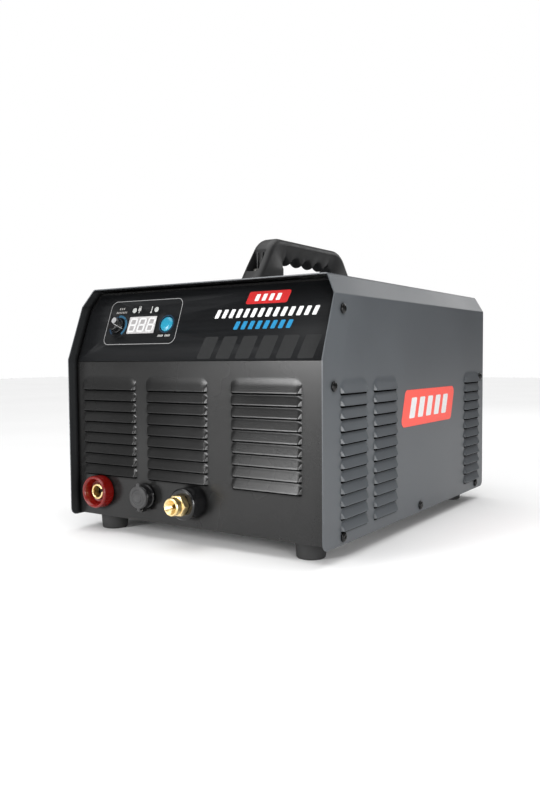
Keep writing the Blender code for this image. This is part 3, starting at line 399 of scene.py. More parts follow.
def face_outwards(bm, level, direction):
    """Makes the faces agree, so that the highest (1) or lowest (-1) one looks along the direction."""
    bmesh.ops.recalc_face_normals(bm, faces=bm.faces)
    bm.normal_update()
    chosen = max(bm.faces, key=lambda face: level * face.calc_center_median().z)
    if chosen.normal.dot(Vector(direction)) < 0:
        bmesh.ops.reverse_faces(bm, faces=bm.faces)


# ---- materials

def add_node(tree, kind, inputs=None, **fields):
    """A new node with its fields set, and its inputs linked or set."""
    node = tree.nodes.new(kind)
    for field, value in fields.items():
        setattr(node, field, value)
    for socket, value in (inputs or {}).items():
        if isinstance(value, bpy.types.NodeSocket):
            tree.links.new(value, node.inputs[socket])
        else:
            node.inputs[socket].default_value = value
    return node


class Look:
    """A Principled material with helpers for its nodes."""

    def __init__(self, name, roughness, metallic=0.0, **sockets):
        self.material = bpy.data.materials.new(name)
        self.material.use_nodes = True
        self.tree = self.material.node_tree
        self.shader = self.tree.nodes["Principled BSDF"]
        sockets.update(Roughness=roughness, Metallic=metallic)
        for socket, value in sockets.items():
            self.shader.inputs[socket.replace("_", " ")].default_value = value
        self.coords = self.add("ShaderNodeTexCoord").outputs["Object"]

    def add(self, kind, inputs=None, **fields):
        return add_node(self.tree, kind, inputs, **fields)

    def set(self, socket, value):
        self.tree.links.new(value, self.shader.inputs[socket])

    def stretched(self, scale):
        return self.add("ShaderNodeMapping", {"Vector": self.coords, "Scale": scale}).outputs["Vector"]

    def noise(self, scale, detail=2.0, coords=None, roughness=0.5):
        inputs = {"Vector": coords or self.coords, "Scale": scale, "Detail": detail, "Roughness": roughness}
        return self.add("ShaderNodeTexNoise", inputs).outputs["Fac"]

    def span(self, value, source_low, source_high, low_value, high_value):
        inputs = {"Value": value, "From Min": source_low, "From Max": source_high, "To Min": low_value,
                  "To Max": high_value}
        return self.add("ShaderNodeMapRange", inputs).outputs["Result"]

    def reckon(self, operation, first, second):
        return self.add("ShaderNodeMath", {0: first, 1: second}, operation=operation).outputs["Value"]

    def mix(self, amount, first, second):
        inputs = {0: amount}
        for socket, value in ((6, first), (7, second)):
            inputs[socket] = (*value, 1.0) if isinstance(value, tuple) else value
        return self.add("ShaderNodeMix", inputs, data_type="RGBA").outputs[2]

    def blotched(self, pattern, dark, light, start=0.3, end=0.7):
        """Goes from the dark to the light colour as the pattern rises from start to end."""
        return self.mix(self.span(pattern, start, end, 0, 1), dark, light)

    def edges(self, radius):
        """1 along convex and concave edges, 0 on flat surface."""
        soft = self.add("ShaderNodeBevel", {"Radius": radius}, samples=6).outputs["Normal"]
        true = self.add("ShaderNodeNewGeometry").outputs["Normal"]
        dot = self.add("ShaderNodeVectorMath", {0: soft, 1: true}, operation="DOT_PRODUCT").outputs["Value"]
        return self.span(dot, 1.0, 0.88, 0.0, 1.0)

    def painted_crevice_shade(self, reach, strength):
        """1 on open surface, falling to 0 in tight gaps: the mask for painted shade in crevices, an ambient-occlusion
        darkening.
        """
        openness = self.add("ShaderNodeAmbientOcclusion", {"Distance": reach}, samples=8).outputs["AO"]
        return self.reckon("POWER", openness, strength)

    def colour(self, value):
        self.set("Base Color", value)

    def rough(self, pattern, middle, below, above, start=0.3, end=0.7):
        """Varies the roughness about the middle as the pattern rises from start to end."""
        self.set("Roughness", self.span(pattern, start, end, middle - below, middle + above))

    def bump(self, height, depth, strength):
        """Adds relief of that depth, in mm."""
        relief = self.add("ShaderNodeBump", {"Height": height, "Distance": depth * MM, "Strength": strength})
        self.set("Normal", relief.outputs["Normal"])

    def radius(self):
        """Distance from the object's own Z axis."""
        flat = self.add("ShaderNodeVectorMath", {0: self.coords, 1: (1, 1, 0)}, operation="MULTIPLY").outputs[0]
        return self.add("ShaderNodeVectorMath", {0: flat}, operation="LENGTH").outputs["Value"]


def powder_coat(name, dark, light, roughness, grain=0.05, edge=None, gloss=0.5):
    """Sprayed powder paint: orange peel and faint mottling, lighter edges that are part light wear and part painted
    highlight, and painted shade in crevices.
    """
    look = Look(name, roughness, Specular_IOR_Level=gloss)
    mottle = look.noise(9, 3)
    speck = look.noise(1500, 2)
    tone = look.blotched(mottle, dark, light)
    tone = look.mix(look.span(speck, 0.35, 0.75, 0, 0.35), tone, light)
    # Lighter colour along edges: part light wear, part painted highlight.
    if edge:
        tone = look.mix(look.reckon("MULTIPLY", look.edges(0.5 * MM), 0.6), tone, edge)
    # Painted shade: in gaps and crevices the base colour darkens to near black and the specular level fades.
    crevice_shade = look.painted_crevice_shade(5 * MM, 2.6)
    look.colour(look.mix(crevice_shade, (0.001, 0.001, 0.001), tone))
    look.set("Specular IOR Level", look.reckon("MULTIPLY", crevice_shade, gloss))
    look.rough(mottle, roughness, 0.05, 0.05, 0.25, 0.75)
    look.bump(look.noise(1100, 3, roughness=0.6), grain, 0.5)
    return look.material


def moulded(name, dark, light, roughness, grain=0.03, scale=1600, edge=None, **sockets):
    """Moulded plastic or rubber with a fine spark-eroded grain."""
    look = Look(name, roughness, **sockets)
    tone = look.blotched(look.noise(25, 2), dark, light)
    # Lighter colour along edges: part light wear, part painted highlight.
    if edge:
        tone = look.mix(look.reckon("MULTIPLY", look.edges(0.4 * MM), 0.5), tone, edge)
    look.colour(tone)
    look.rough(look.noise(60, 3), roughness, 0.06, 0.06)
    if grain:
        look.bump(look.noise(scale, 2, roughness=0.7), grain, 0.6)
    return look.material


def turned_metal(name, dark, light, roughness):
    """Bar stock turned about the piece's own Z axis, with fine tool marks."""
    look = Look(name, roughness, 1.0)
    height = look.add("ShaderNodeSeparateXYZ", {0: look.coords}).outputs["Z"]
    line = look.add("ShaderNodeCombineXYZ", {"X": look.radius(), "Y": height}).outputs[0]
    marks = look.noise(2600, 2, line)
    stain = look.noise(120, 3)
    look.colour(look.blotched(stain, dark, light, 0.35, 0.65))
    look.rough(look.reckon("ADD", marks, stain), roughness, 0.08, 0.1, 0.7, 1.3)
    look.bump(marks, 0.02, 0.4)
    return look.material


def plated_metal(name, dark, light, roughness):
    """Zinc or steel sheet with a fine random grain."""
    look = Look(name, roughness, 1.0)
    grain = look.noise(400, 4, look.stretched((1, 0.08, 1)))
    look.colour(look.blotched(look.noise(30, 3), dark, light))
    look.rough(grain, roughness, 0.08, 0.1)
    look.bump(grain, 0.01, 0.3)
    return look.material


def printed(name, colour, roughness=0.4, gloss=0.3):
    """Screen-printed ink: a little uneven, with a matt tooth."""
    look = Look(name, roughness, Specular_IOR_Level=gloss)
    cloud = look.noise(300, 3)
    look.colour(look.blotched(cloud, tuple(channel * 0.9 for channel in colour), colour, 0.35, 0.65))
    look.rough(cloud, roughness, 0.05, 0.05)
    look.bump(look.noise(2500, 2), 0.01, 0.4)
    return look.material


def film(name, dark, light, roughness):
    """The control face's printed film: satin, with a faint brushed line across it."""
    look = Look(name, roughness, Specular_IOR_Level=0.13)
    streaks = look.noise(260, 4, look.stretched((0.05, 1, 1)), 0.65)
    fine = look.noise(1400, 2)
    tone = look.blotched(streaks, dark, light, 0.3, 0.72)
    look.colour(look.mix(look.span(fine, 0.4, 0.8, 0, 0.3), tone, light))
    look.rough(streaks, roughness, 0.05, 0.06)
    look.bump(look.noise(1800, 2), 0.02, 0.4)
    return look.material


# The edge colours below are the lighter tone of a painted edge highlight.
COVER_PAINT = powder_coat("cover_paint", (0.047, 0.052, 0.058), (0.061, 0.068, 0.075), 0.38,
                          edge=(0.09, 0.095, 0.10))
PANEL_PAINT = powder_coat("panel_paint", (0.008, 0.008, 0.008), (0.013, 0.013, 0.013), 0.25, 0.035,
                          edge=(0.06, 0.06, 0.06), gloss=0.36)
FILM_BLACK = film("film_black", (0.0032, 0.0035, 0.004), (0.0085, 0.009, 0.010), 0.55)
HANDLE_PLASTIC = moulded("handle_plastic", (0.009, 0.009, 0.0095), (0.014, 0.014, 0.0145), 0.42, 0.05, 1100,
                          Specular_IOR_Level=0.4)
BLACK_PLASTIC = moulded("black_plastic", (0.010, 0.010, 0.0105), (0.015, 0.015, 0.0155), 0.33)
GLOSS_BLACK = moulded("gloss_black", (0.006, 0.006, 0.0065), (0.010, 0.010, 0.0105), 0.2, 0)
RUBBER = moulded("rubber", (0.011, 0.011, 0.0112), (0.017, 0.017, 0.0173), 0.68, 0.06, 900)
CAP_RUBBER = moulded("cap_rubber", (0.028, 0.028, 0.029), (0.040, 0.040, 0.041), 0.6, 0.04, 1200)
RED_PLASTIC = moulded("red_plastic", (0.13, 0.003, 0.002), (0.18, 0.005, 0.0035), 0.24, 0.012, 900)
ROCKER_RED = moulded("rocker_red", (0.38, 0.008, 0.006), (0.45, 0.012, 0.009), 0.3, 0.015, 1200)
BRASS = turned_metal("brass", (0.84, 0.62, 0.28), (0.94, 0.76, 0.42), 0.33)
# Its edge colour is a faint painted highlight along the screw heads' edges.
SCREW_BLACK = moulded("screw_black", (0.003, 0.003, 0.003), (0.006, 0.006, 0.006), 0.24, 0.02, 2000,
                      edge=(0.012, 0.012, 0.012), Specular_IOR_Level=0.3)
DULL_ZINC = plated_metal("dull_zinc", (0.060, 0.059, 0.056), (0.090, 0.088, 0.084), 0.5)
ZINC = plated_metal("zinc", (0.46, 0.45, 0.42), (0.60, 0.59, 0.56), 0.36)
# Painted shade: near-black matt for the surfaces behind the louvre slits, so that the slits read dark.
SLIT_PAINTED_SHADE = moulded("slit_painted_shade", (0.0012, 0.0012, 0.0012), (0.002, 0.002, 0.002), 0.8, Specular_IOR_Level=0.05)
# Painted shade: a darker copy of the powder paint for the sheets' inner faces, standing in for the shade inside the
# case.
INNER_PAINTED_SHADE = powder_coat("inner_painted_shade", (0.012, 0.0125, 0.013), (0.018, 0.019, 0.020), 0.5, gloss=0.3)
PAN_PAINT = powder_coat("pan_paint", (0.032, 0.032, 0.033), (0.044, 0.044, 0.045), 0.5)
WIRE = plated_metal("guard_wire", (0.50, 0.50, 0.50), (0.62, 0.62, 0.62), 0.28)
ALUMINIUM = plated_metal("aluminium", (0.62, 0.62, 0.64), (0.74, 0.74, 0.76), 0.38)
BOARD = moulded("board_green", (0.012, 0.085, 0.035), (0.018, 0.11, 0.045), 0.4)
SLEEVE = moulded("capacitor_sleeve", (0.012, 0.016, 0.05), (0.018, 0.024, 0.07), 0.3, 0)
FERRITE = moulded("ferrite", (0.03, 0.027, 0.024), (0.045, 0.04, 0.035), 0.65)
HOSE = moulded("hose", (0.014, 0.014, 0.015), (0.02, 0.02, 0.021), 0.45)
BLUE_GLOSS = moulded("blue_gloss", (0.014, 0.20, 0.31), (0.022, 0.25, 0.37), 0.18, 0)
INK_WHITE = printed("ink_white", (0.66, 0.66, 0.66))
INK_GREY = printed("ink_grey", (0.019, 0.0195, 0.020), 0.55, 0.12)
INK_SOFT = printed("ink_soft", (0.40, 0.40, 0.39))
INK_PALE = printed("ink_pale", (0.25, 0.25, 0.25))
INK_DIM = printed("ink_dim", (0.26, 0.25, 0.24))
INK_BLUE = printed("ink_blue", (0.010, 0.19, 0.38))
INK_TEAL = printed("ink_teal", (0.018, 0.085, 0.15))
INK_NAVY = printed("ink_navy", (0.006, 0.026, 0.055))
INK_RED = printed("ink_red", (0.44, 0.012, 0.013))
LABEL_RED = printed("label_red", (0.84, 0.085, 0.06), 0.38)
LABEL_WHITE = printed("label_white", (0.70, 0.70, 0.70), 0.38)
LAMP = moulded("lamp_lens", (0.33, 0.34, 0.33), (0.41, 0.42, 0.41), 0.3, 0)
DISPLAY_FACE = printed("display_face", (0.43, 0.42, 0.42), 0.3)
DISPLAY_SHADE = printed("display_shade", (0.29, 0.28, 0.28), 0.3)
# Painted highlight: the pale grey of the disc on the knob's top stands in for a reflection on the glossy knob.
KNOB_PAINTED_HIGHLIGHT = moulded("knob_painted_highlight", (0.26, 0.26, 0.265), (0.31, 0.31, 0.315), 0.45, 0.02)
REAR_PAINT = powder_coat("rear_paint", (0.024, 0.024, 0.024), (0.034, 0.034, 0.034), 0.42)
DISPLAY_SEGMENT = printed("display_segment", (0.60, 0.60, 0.60), 0.3)


# ---- pressed sheet metal

def soft_step(value):
    value = min(1.0, max(0.0, value))
    return value * value * (3 - 2 * value)


def louvre_height(side_gap, above, tall, ease):
    """How far a louvre stands out, at a place measured from its nearer end and up from its lip.

    A narrow upright hem runs along the lip, a straight slope goes back to the sheet above and
    eases into it, and a steep flat triangle closes each end."""
    if side_gap <= 0:
        return 0.0
    hem = 0.9 * MM
    shrink = 0.62 + 0.38 * sin(pi / 2 * min(1.0, side_gap / (0.6 * tall)))
    tall, ease = tall * shrink, ease * shrink
    if above >= tall:
        return 0.0
    slope = 0.95 * LOUVRE_PROUD / (tall - hem - ease / 2)
    if above < hem:
        ramp = LOUVRE_PROUD * (1 - 0.05 * above / hem)
    elif above < tall - ease:
        ramp = 0.95 * LOUVRE_PROUD - slope * (above - hem)
    else:
        ramp = slope * (tall - above) ** 2 / (2 * ease)
    cap = 1.15 * side_gap * side_gap / (side_gap + 0.2 * MM)
    blend = 0.4 * MM
    share = min(1.0, max(0.0, 0.5 + 0.5 * (cap - ramp) / blend))
    return max(0.0, cap * (1 - share) + ramp * share - blend * share * (1 - share) * min(1.0, ramp / blend))


def spread(start, end):
    """Positions along one louvre, close together where its ends curve."""
    near = (0, 0.4, 0.8, 1.3, 1.8, 2.3, 2.8, 3.4, 4.2, 5.4, 7.4, 10.5)
    length = end - start
    steps = max(2, round((length - 21) / 9))
    inner = [10.5 + (length - 21) * step / steps for step in range(1, steps)]
    places = list(near) + inner + [length - value for value in reversed(near)]
    return [start + value for value in places]


def louvre_strips(bottom, rows):
    """The strips of sheet between slits, from the bottom up: (lip or None, louvre, heights).

    A louvre is its height and the length of its soft top; heights end at the next lip."""
    lips = [TOP_LIP - row * LOUVRE_PITCH for row in range(rows)]
    lips.reverse()
    strips = [(None, (0.0, 0.0), bottom + [lips[0]])]
    for number, lip in enumerate(lips):
        last = number == rows - 1
        louvre = (15.5 * MM, 8.5 * MM) if last else (LOUVRE_PITCH - LOUVRE_SLIT, 0.6 * MM)
        steps = [0, 0.45, 0.9, 1.4, 2.0, 2.8, 3.7, 4.8, 6.0, 7.4, 8.9, 10.3, 11.3]
        if last:
            steps += [12.4, 13.5, 14.6, 15.5, 17]
        heights = [lip + value * MM for value in steps]
        if not last:
            heights.append(lips[number + 1])
        strips.append((lip, louvre, heights))
    return strips


def louvred_sheet(bm, strips, columns, spans, place):
    """Skins the strips; place(column, out, height) says where a point of the sheet goes.

    Behind each slit the strip below turns in and up, so that no daylight shows through."""
    gaps = []
    for column in columns:
        gaps.append(max((end - start) / 2 * MM - abs(column - (start + end) / 2 * MM) for start, end in spans))
    openings = [soft_step(gap / SLIT_END) for gap in gaps]
    for lip, louvre, heights in strips:
        base, top = heights[0], heights[-1]
        has_slit = heights is not strips[-1][2]
        rings = []
        for height in heights:
            places = []
            for column, gap, opening in zip(columns, gaps, openings):
                drop = LOUVRE_SLIT * opening * (height - base) / (top - base) if has_slit else 0.0
                out = 0.0 if lip is None else louvre_height(gap, height - drop - lip, *louvre)
                places.append(place(column, out, height - drop))
            rings.append(ring_of(bm, places))
        skin(bm, rings, closed_ring=False)
        if not has_slit:
            continue
        flange = rings[-1:]
        for inward, rise in SLIT_FLANGE:
            flange.append(ring_of(bm, [place(column, -inward * opening, top - (LOUVRE_SLIT - rise) * opening)
                                       for column, opening in zip(columns, openings)]))
        before = len(bm.faces)
        skin(bm, flange, closed_ring=False)
        bm.faces.ensure_lookup_table()
        # These faces behind the slit take the near-black painted shade.
        for face in bm.faces[before:]:
            face.material_index = SLIT_LOOK


def make_cover():
    """The folded cover: both louvred sides, chamfered shoulders and the top in one sheet."""
    corner = 8 * MM
    foot = [FLOOR_GAP + value * MM for value in (0, 0.4, 1.2, 2.4, 4.0, 6.0, 8.0)]
    strips = louvre_strips(foot, SIDE_ROWS)
    columns = [0.0, 0.6 * MM, 3 * MM, 12 * MM, 24 * MM]
    previous = 24.0
    for start, end in SIDE_COLUMNS:
        gap = start - previous
        if gap > 25:
            columns += [(previous + gap * part) * MM for part in (0.2, 0.4, 0.6, 0.8)]
        columns += [value * MM for value in spread(start, end)]
        previous = end
    columns += [436 * MM, DEPTH - 3 * MM, DEPTH - 0.6 * MM, DEPTH]

    def place(x, z, along):
        rise = max(0.0, FLOOR_GAP + corner - z)
        front = rear = corner - sqrt(max(0.0, corner * corner - rise * rise))
        if z > COVER_KINK:
            front = LEAN * (z - COVER_KINK)
        return Vector((x, FRONT + front + along * (DEPTH - front - rear) / DEPTH, z))

    bm = bmesh.new()
    for side in (1, -1):
        louvred_sheet(bm, strips, columns, SIDE_COLUMNS, lambda along, out, z: place(side * (HALF + out), z, along))
    start = strips[-1][2][-1]
    wall = [(HALF, start + (COVER_KINK - start) * part) for part in (0, 0.5, 1)]
    bends = rounded([(HALF, COVER_KINK, 0), (HALF, SHOULDER, 3.5 * MM), (HALF - CHAMFER, TOP, 3.5 * MM),
                     (0, TOP, 0)], 5)
    upper = wall + bends[1:]
    section = upper + [(-x, z) for x, z in reversed(upper[:-1])]
    rings = [ring_of(bm, [place(x, z, along) for along in columns]) for x, z in section]
    skin(bm, rings, closed_ring=False)
    bmesh.ops.remove_doubles(bm, verts=bm.verts, dist=SEAM)
    face_outwards(bm, 1, (0, 0, 1))
    sheet_piece("cover_shell", bm, COVER_PAINT, "outer_cover", COVER_GAUGE)


DISPLAY_WIDTH = 40.4 * MM
DISPLAY_TALL = 20.2 * MM


def control_holes():
    """Outlines of the openings for the controls, on the leaning face."""
    outlines = []
    for node, radius in (("current_knob", 4.2), ("gas_test_button", 9.0), ("power_indicator", 3.6),
                         ("overheat_indicator", 3.6)):
        outlines.append(circle(radius * MM, 32, lean_spot(node)))
    outlines.append(box_outline(DISPLAY_WIDTH + 0.6 * MM, DISPLAY_TALL + 0.6 * MM, 0.6 * MM,
                                lean_spot("display_module"), steps=2))
    return outlines


def fill_between(bm, outer, holes, matrix):
    """A flat face with holes; outer is a ring of corners that are already in place."""
    edges = []
    for number, corner in enumerate(outer):
        after = outer[(number + 1) % len(outer)]
        edges.append(bm.edges.get((corner, after)) or bm.edges.new((corner, after)))
    for hole in holes:
        ring = ring_of(bm, [matrix @ Vector((x, y, 0)) for x, y in hole])
        for number, corner in enumerate(ring):
            edges.append(bm.edges.new((corner, ring[(number + 1) % len(ring)])))
    bmesh.ops.triangle_fill(bm, use_beauty=True, use_dissolve=False, edges=edges)


def make_front_panel():
    """The front sheet: nine rows of louvres below the bend, the leaning control face above it."""
    foot = [PANEL_LOW, PANEL_LOW + 0.6 * MM, FLOOR_GAP + 20 * MM]
    strips = louvre_strips(foot, FRONT_ROWS)
    columns = [-LINING, -LINING + 0.5 * MM]
    for start, end in FRONT_COLUMNS:
        columns += [value * MM for value in spread(start, end)]
    columns += [LINING - 0.5 * MM, LINING]
    bm = bmesh.new()
    louvred_sheet(bm, strips, columns, FRONT_COLUMNS, lambda x, out, z: (x, PANEL_FACE - out, z))
    start = strips[-1][2][-1]
    bend = rounded([(PANEL_FACE, start, 0), (PANEL_FACE, PANEL_KINK, 2.5 * MM),
                    (PANEL_FACE + 20 * MM * LEAN, PANEL_KINK + 20 * MM, 0)], 5)
    rings = []
    for y, z in [(PANEL_FACE, start), (PANEL_FACE, (start + PANEL_KINK) / 2)] + bend[1:-1]:
        rings.append(ring_of(bm, [(x, y, z) for x in columns]))
    skin(bm, rings, closed_ring=False)
    top_y = PANEL_FACE + LEAN * (PANEL_HIGH - PANEL_KINK)
    shoulder_y = PANEL_FACE + LEAN * (SHOULDER - 1.5 * MM - PANEL_KINK)
    slope = CHAMFER * (PANEL_HIGH - SHOULDER) / (TOP - SHOULDER) + 1.5 * MM
    right = ring_of(bm, [(LINING, shoulder_y, SHOULDER - 1.5 * MM), (LINING - slope, top_y, PANEL_HIGH)])
    left = ring_of(bm, [(-LINING + slope, top_y, PANEL_HIGH), (-LINING, shoulder_y, SHOULDER - 1.5 * MM)])
    fill_between(bm, rings[-1] + right + left, control_holes(), LEAN_PLACE)
    bmesh.ops.remove_doubles(bm, verts=bm.verts, dist=SEAM)
    face_outwards(bm, -1, (0, -1, 0))
    sheet_piece("front_sheet", bm, PANEL_PAINT, "front_panel", PANEL_GAUGE)


# ---- handle, feet and screws

def pan_head_screw(head, rise, shank, length, thread=True):
    """A pan-head screw with a cross recess, in mm: local Z 0 is under the head."""
    head, rise, shank, length = (value * MM for value in (head, rise, shank, length))
    outline = rounded([(0, rise, 0), (head * 0.62, rise * 0.97, head * 0.9), (head, rise * 0.55, rise * 0.5),
                       (head, 0, 0.25 * MM), (shank, 0, 0)], 5)
    if thread:
        turns = max(4, round(length / (0.8 * MM)))
        for step in range(turns):
            height = -length * (step + 0.2) / turns
            outline += [(shank, height), (shank * 0.86, height - length * 0.4 / turns)]
    bm = bmesh.new()
    lathe(bm, outline + [(shank, -length), (0, -length)], 40)
    bars = []
    for turn in (0, pi / 2):
        cutter = bmesh.new()
        rings = []
        for wide, thick, height in ((head * 0.225, 0.5 * MM, rise * 0.25), (head * 0.55, 0.65 * MM, rise * 1.2)):
            rings.append(ring_of(cutter, [(x * wide, y * thick, height) for x, y in SQUARE]))
        capped(cutter, rings)
        bmesh.ops.rotate(cutter, cent=(0, 0, 0), matrix=Matrix.Rotation(turn, 3, "Z"), verts=cutter.verts)
        bars.append(cutter)
    return carved(bm, bars)


def make_cover_screws():
    spots = []
    for side, word in ((-1, "left"), (1, "right")):
        for number, corner in enumerate(("front_top", "front_middle", "front_bottom", "middle_bottom", "rear_bottom",
                                         "rear_middle")):
            name = f"screw_{word}_{corner}"
            spot = middle("cover_" + name)
            place = shift(side * (HALF + 0.05 * MM), spot.y, spot.z) @ turn_about("Y", side * pi / 2)
            spots.append((name, place @ turn_about("Z", 0.4 + 1.1 * number + side), ["cover_" + name]))
    alike(pan_head_screw(4.75, 2.5, 2.2, 8), SCREW_BLACK, spots)


HANDLE_LOW = low("handle").z
HANDLE_MIDDLE = middle("handle").y
HANDLE_REACH = high("handle").y - HANDLE_MIDDLE
HANDLE_RISE = high("handle").z - HANDLE_LOW
HANDLE_HALF = high("handle").x
HANDLE_SLOPE = 34 / 48
FINGER_PITCH = 27.2 * MM
GRIP_INNER = 54 * MM                         # where the straight grip ends
GRIP_CORNER = 8 * MM
GRIP_TAPER = 0.27                            # how much the grip's sides lean in towards the fingers


def handle_face(height):
    """How far out the leg's slanted face is, at that height, in the handle's side view."""
    return HANDLE_REACH - height * HANDLE_SLOPE


def handle_crown(centre, angle):
    """Where a line from centre at that angle meets the handle's outer side."""
    bend = 33 * MM
    slant = atan2(1, HANDLE_SLOPE)
    hub = Vector((handle_face(HANDLE_RISE) - bend * tan(slant / 2), HANDLE_RISE - bend))
    along = Vector((cos(angle), sin(angle)))
    reach = along.dot(hub - centre)
    to_arc = reach + sqrt(max(0.0, reach * reach - (hub - centre).length_squared + bend * bend))
    meet = centre + along * to_arc
    if pi / 2 - slant < atan2(meet.y - hub.y, meet.x - hub.x) < pi / 2:
        return meet
    to_face = (HANDLE_REACH - HANDLE_SLOPE * centre.y - centre.x) / (along.x + HANDLE_SLOPE * along.y)
    to_top = (HANDLE_RISE - centre.y) / max(along.y, 1e-6)
    return centre + along * min(to_face, to_top)


def handle_section(outer, inner, half, narrow, outer_radius, inner_radius):
    """A rounded ring in the plane through both points and the X axis."""
    middle_point = (outer + inner) / 2
    arm = (outer - inner) / 2
    reach = arm.length
    corners = [(-half + narrow, -reach, inner_radius), (half - narrow, -reach, inner_radius),
               (half, reach, outer_radius), (-half, reach, outer_radius)]
    places = []
    for x, along in rounded(corners, 7, closed=True):
        spot = middle_point + arm * (along / reach)
        places.append((x, spot.x, spot.y))
    return places


def make_handle():
    """One moulding: two slanted legs and a grip with finger scallops on its underside."""
    half = HANDLE_HALF
    stations = []
    for height in (0, 0.8, 2.5, 6, 10, 14, 18, 22):
        flare = 0.0 if height else 0.5 * MM
        outer = Vector((handle_face(height * MM) - flare, height * MM))
        inner = Vector((GRIP_INNER + GRIP_CORNER, height * MM))
        stations.append((outer, inner, half - flare, 0.0, 8 * MM, 5 * MM))
    hub = Vector((GRIP_INNER, 25 * MM))
    for step in range(13):
        part = step / 12
        angle = part * pi / 2
        inner = hub + Vector((cos(angle), sin(angle))) * GRIP_CORNER
        outer = handle_crown(hub, max(angle, 0.001))
        taper = GRIP_TAPER * part * (HANDLE_RISE - hub.y - GRIP_CORNER)
        stations.append((outer, inner, half, taper, (8 - part) * MM, (5 + 1.8 * part) * MM))
    leg = len(stations)
    steps = 56
    for step in range(1, steps):
        y = GRIP_INNER * (1 - 2 * step / steps)
        wave = 0.5 - 0.5 * cos(TAU * y / FINGER_PITCH)
        under = 38.8 * MM - 7.2 * MM * wave ** 1.5
        stations.append((Vector((y, HANDLE_RISE)), Vector((y, under)), half, GRIP_TAPER * (HANDLE_RISE - under),
                         7 * MM, 6.8 * MM))
    for outer, inner, *rest in reversed(stations[:leg]):
        stations.append((Vector((-outer.x, outer.y)), Vector((-inner.x, inner.y)), *rest))
    bm = bmesh.new()
    capped(bm, [ring_of(bm, handle_section(*station)) for station in stations])
    wall = handle_face(46 * MM)
    tools = []
    for side in (-1, 1):
        pocket = bmesh.new()
        outline = box_outline(16 * MM, 50 * MM, 2 * MM, (0, 45 * MM), steps=4)
        lower = [(x, side * wall, z) for x, z in outline]
        upper = [(x * 1.12, side * (wall + 45 * MM), z + (-1.5 * MM if z < 45 * MM else 0)) for x, z in outline]
        capped(pocket, [ring_of(pocket, lower), ring_of(pocket, upper)])
        tools.append(pocket)
    place = shift(0, HANDLE_MIDDLE, HANDLE_LOW)
    new_piece("carry_handle", carved(bm, tools), HANDLE_PLASTIC, place, ["handle"], crease=42,
              edge=(0.5, 2, 42))
    for side, word in ((-1, "front"), (1, "rear")):
        ribs = bmesh.new()
        for x in (-3.5, 3.0):
            outline = box_outline(2.6 * MM, 4.4 * MM, 1.2 * MM, (x * MM, side * wall), steps=5)
            prism(ribs, outline, 20.5 * MM, 43 * MM)
        new_piece("handle_ribs_" + word, ribs, HANDLE_PLASTIC, place)
        node = "handle_screw_" + word
        bolt_place = shift(0, middle(node).y, high(node).z - 3.2 * MM) @ turn_about("Z", 0.6)
        bm = pan_head_screw(5, 3.1, 2.4, 31, thread=False)
        new_piece("handle_bolt_" + word, bm, DULL_ZINC, bolt_place, [node])


def make_feet():
    outline = [(2.8, 17.9, 0), (15.8, 17.9, 0.8), (15.5, 13.6, 0.5), (14.6, 1.2, 1.2), (13.6, 0, 0.6),
               (12.4, 0, 0.4), (11.6, 0.6, 0.4), (7.8, 0.6, 0.4), (7.2, 0, 0.4), (6, 0, 0.5), (6, 7, 0.6),
               (2.8, 7, 0)]
    for corner in ("front_left", "front_right", "rear_left", "rear_right"):
        spot = middle("foot_" + corner)
        new_piece("rubber_foot_" + corner, turned(outline, 4, closed=True), RUBBER,
                  shift(spot.x, spot.y, 0), ["foot_" + corner], crease=40)
        place = shift(spot.x, spot.y, 6.7 * MM) @ turn_about("X", pi)
        new_piece("foot_bolt_" + corner, pan_head_screw(4.8, 2.8, 2.3, 19), ZINC,
                  place, ["foot_screw_" + corner])


# ---- front connectors

CONNECTOR_Z = middle("work_socket_body").z


def connector_place(node):
    """On the front panel's face at the connector's axis, local Z to the front."""
    return shift(middle(node).x, PANEL_FACE, CONNECTOR_Z) @ FRONT_TURN


def chamfered_hexagon(across, bottom, top):
    """A hexagon nut body with the corners turned off at both ends, in mm."""
    reach = across / 2
    inset = 0.96 * reach - 0.5 / 0.58
    fall = 0.2 * reach
    cone = turned([(0, bottom - 0.5, 0), (inset, bottom - 0.5, 0), (1.3 * reach, bottom + fall, 0),
                   (1.3 * reach, top - fall, 0), (inset, top + 0.5, 0), (0, top + 0.5, 0)])
    bm = bmesh.new()
    prism(bm, circle(across * MM / sqrt(3), 6), bottom * MM, top * MM)
    return carved(bm, [cone], "INTERSECT")


def make_work_socket():
    place = connector_place("work_socket_body")
    ring = turned([(15.6, 14.3, 0.8), (17.2, 14.3, 0.8), (18, 12.6, 1.2), (18, 0.2, 0.3), (11, 0.2, 0),
                   (11, -10, 0), (9.2, -10, 0), (9.2, 4, 0.3), (12.8, 4, 1.2), (14.2, 12.6, 1.0)], 4, 96, closed=True)
    new_piece("work_socket_ring", ring, RED_PLASTIC, place, ["work_socket_body"])
    contact = turned([(0, -26, 0), (5, -26, 0.6), (5, -14, 0.3), (8.8, -14, 0.5), (8.8, 8.6, 0.7), (6.3, 8.6, 0.5),
                      (6.3, -10, 0.3), (0, -10.6, 0)], 3, 72)
    contact = carved(contact, [block(5, 3.6, 0.5, -6, 10, (7.6, 0))])
    new_piece("work_socket_contact", contact, BRASS, place @ turn_about("Z", 0.25),
              ["work_socket_insert"], edge=(0.25, 2, 50))


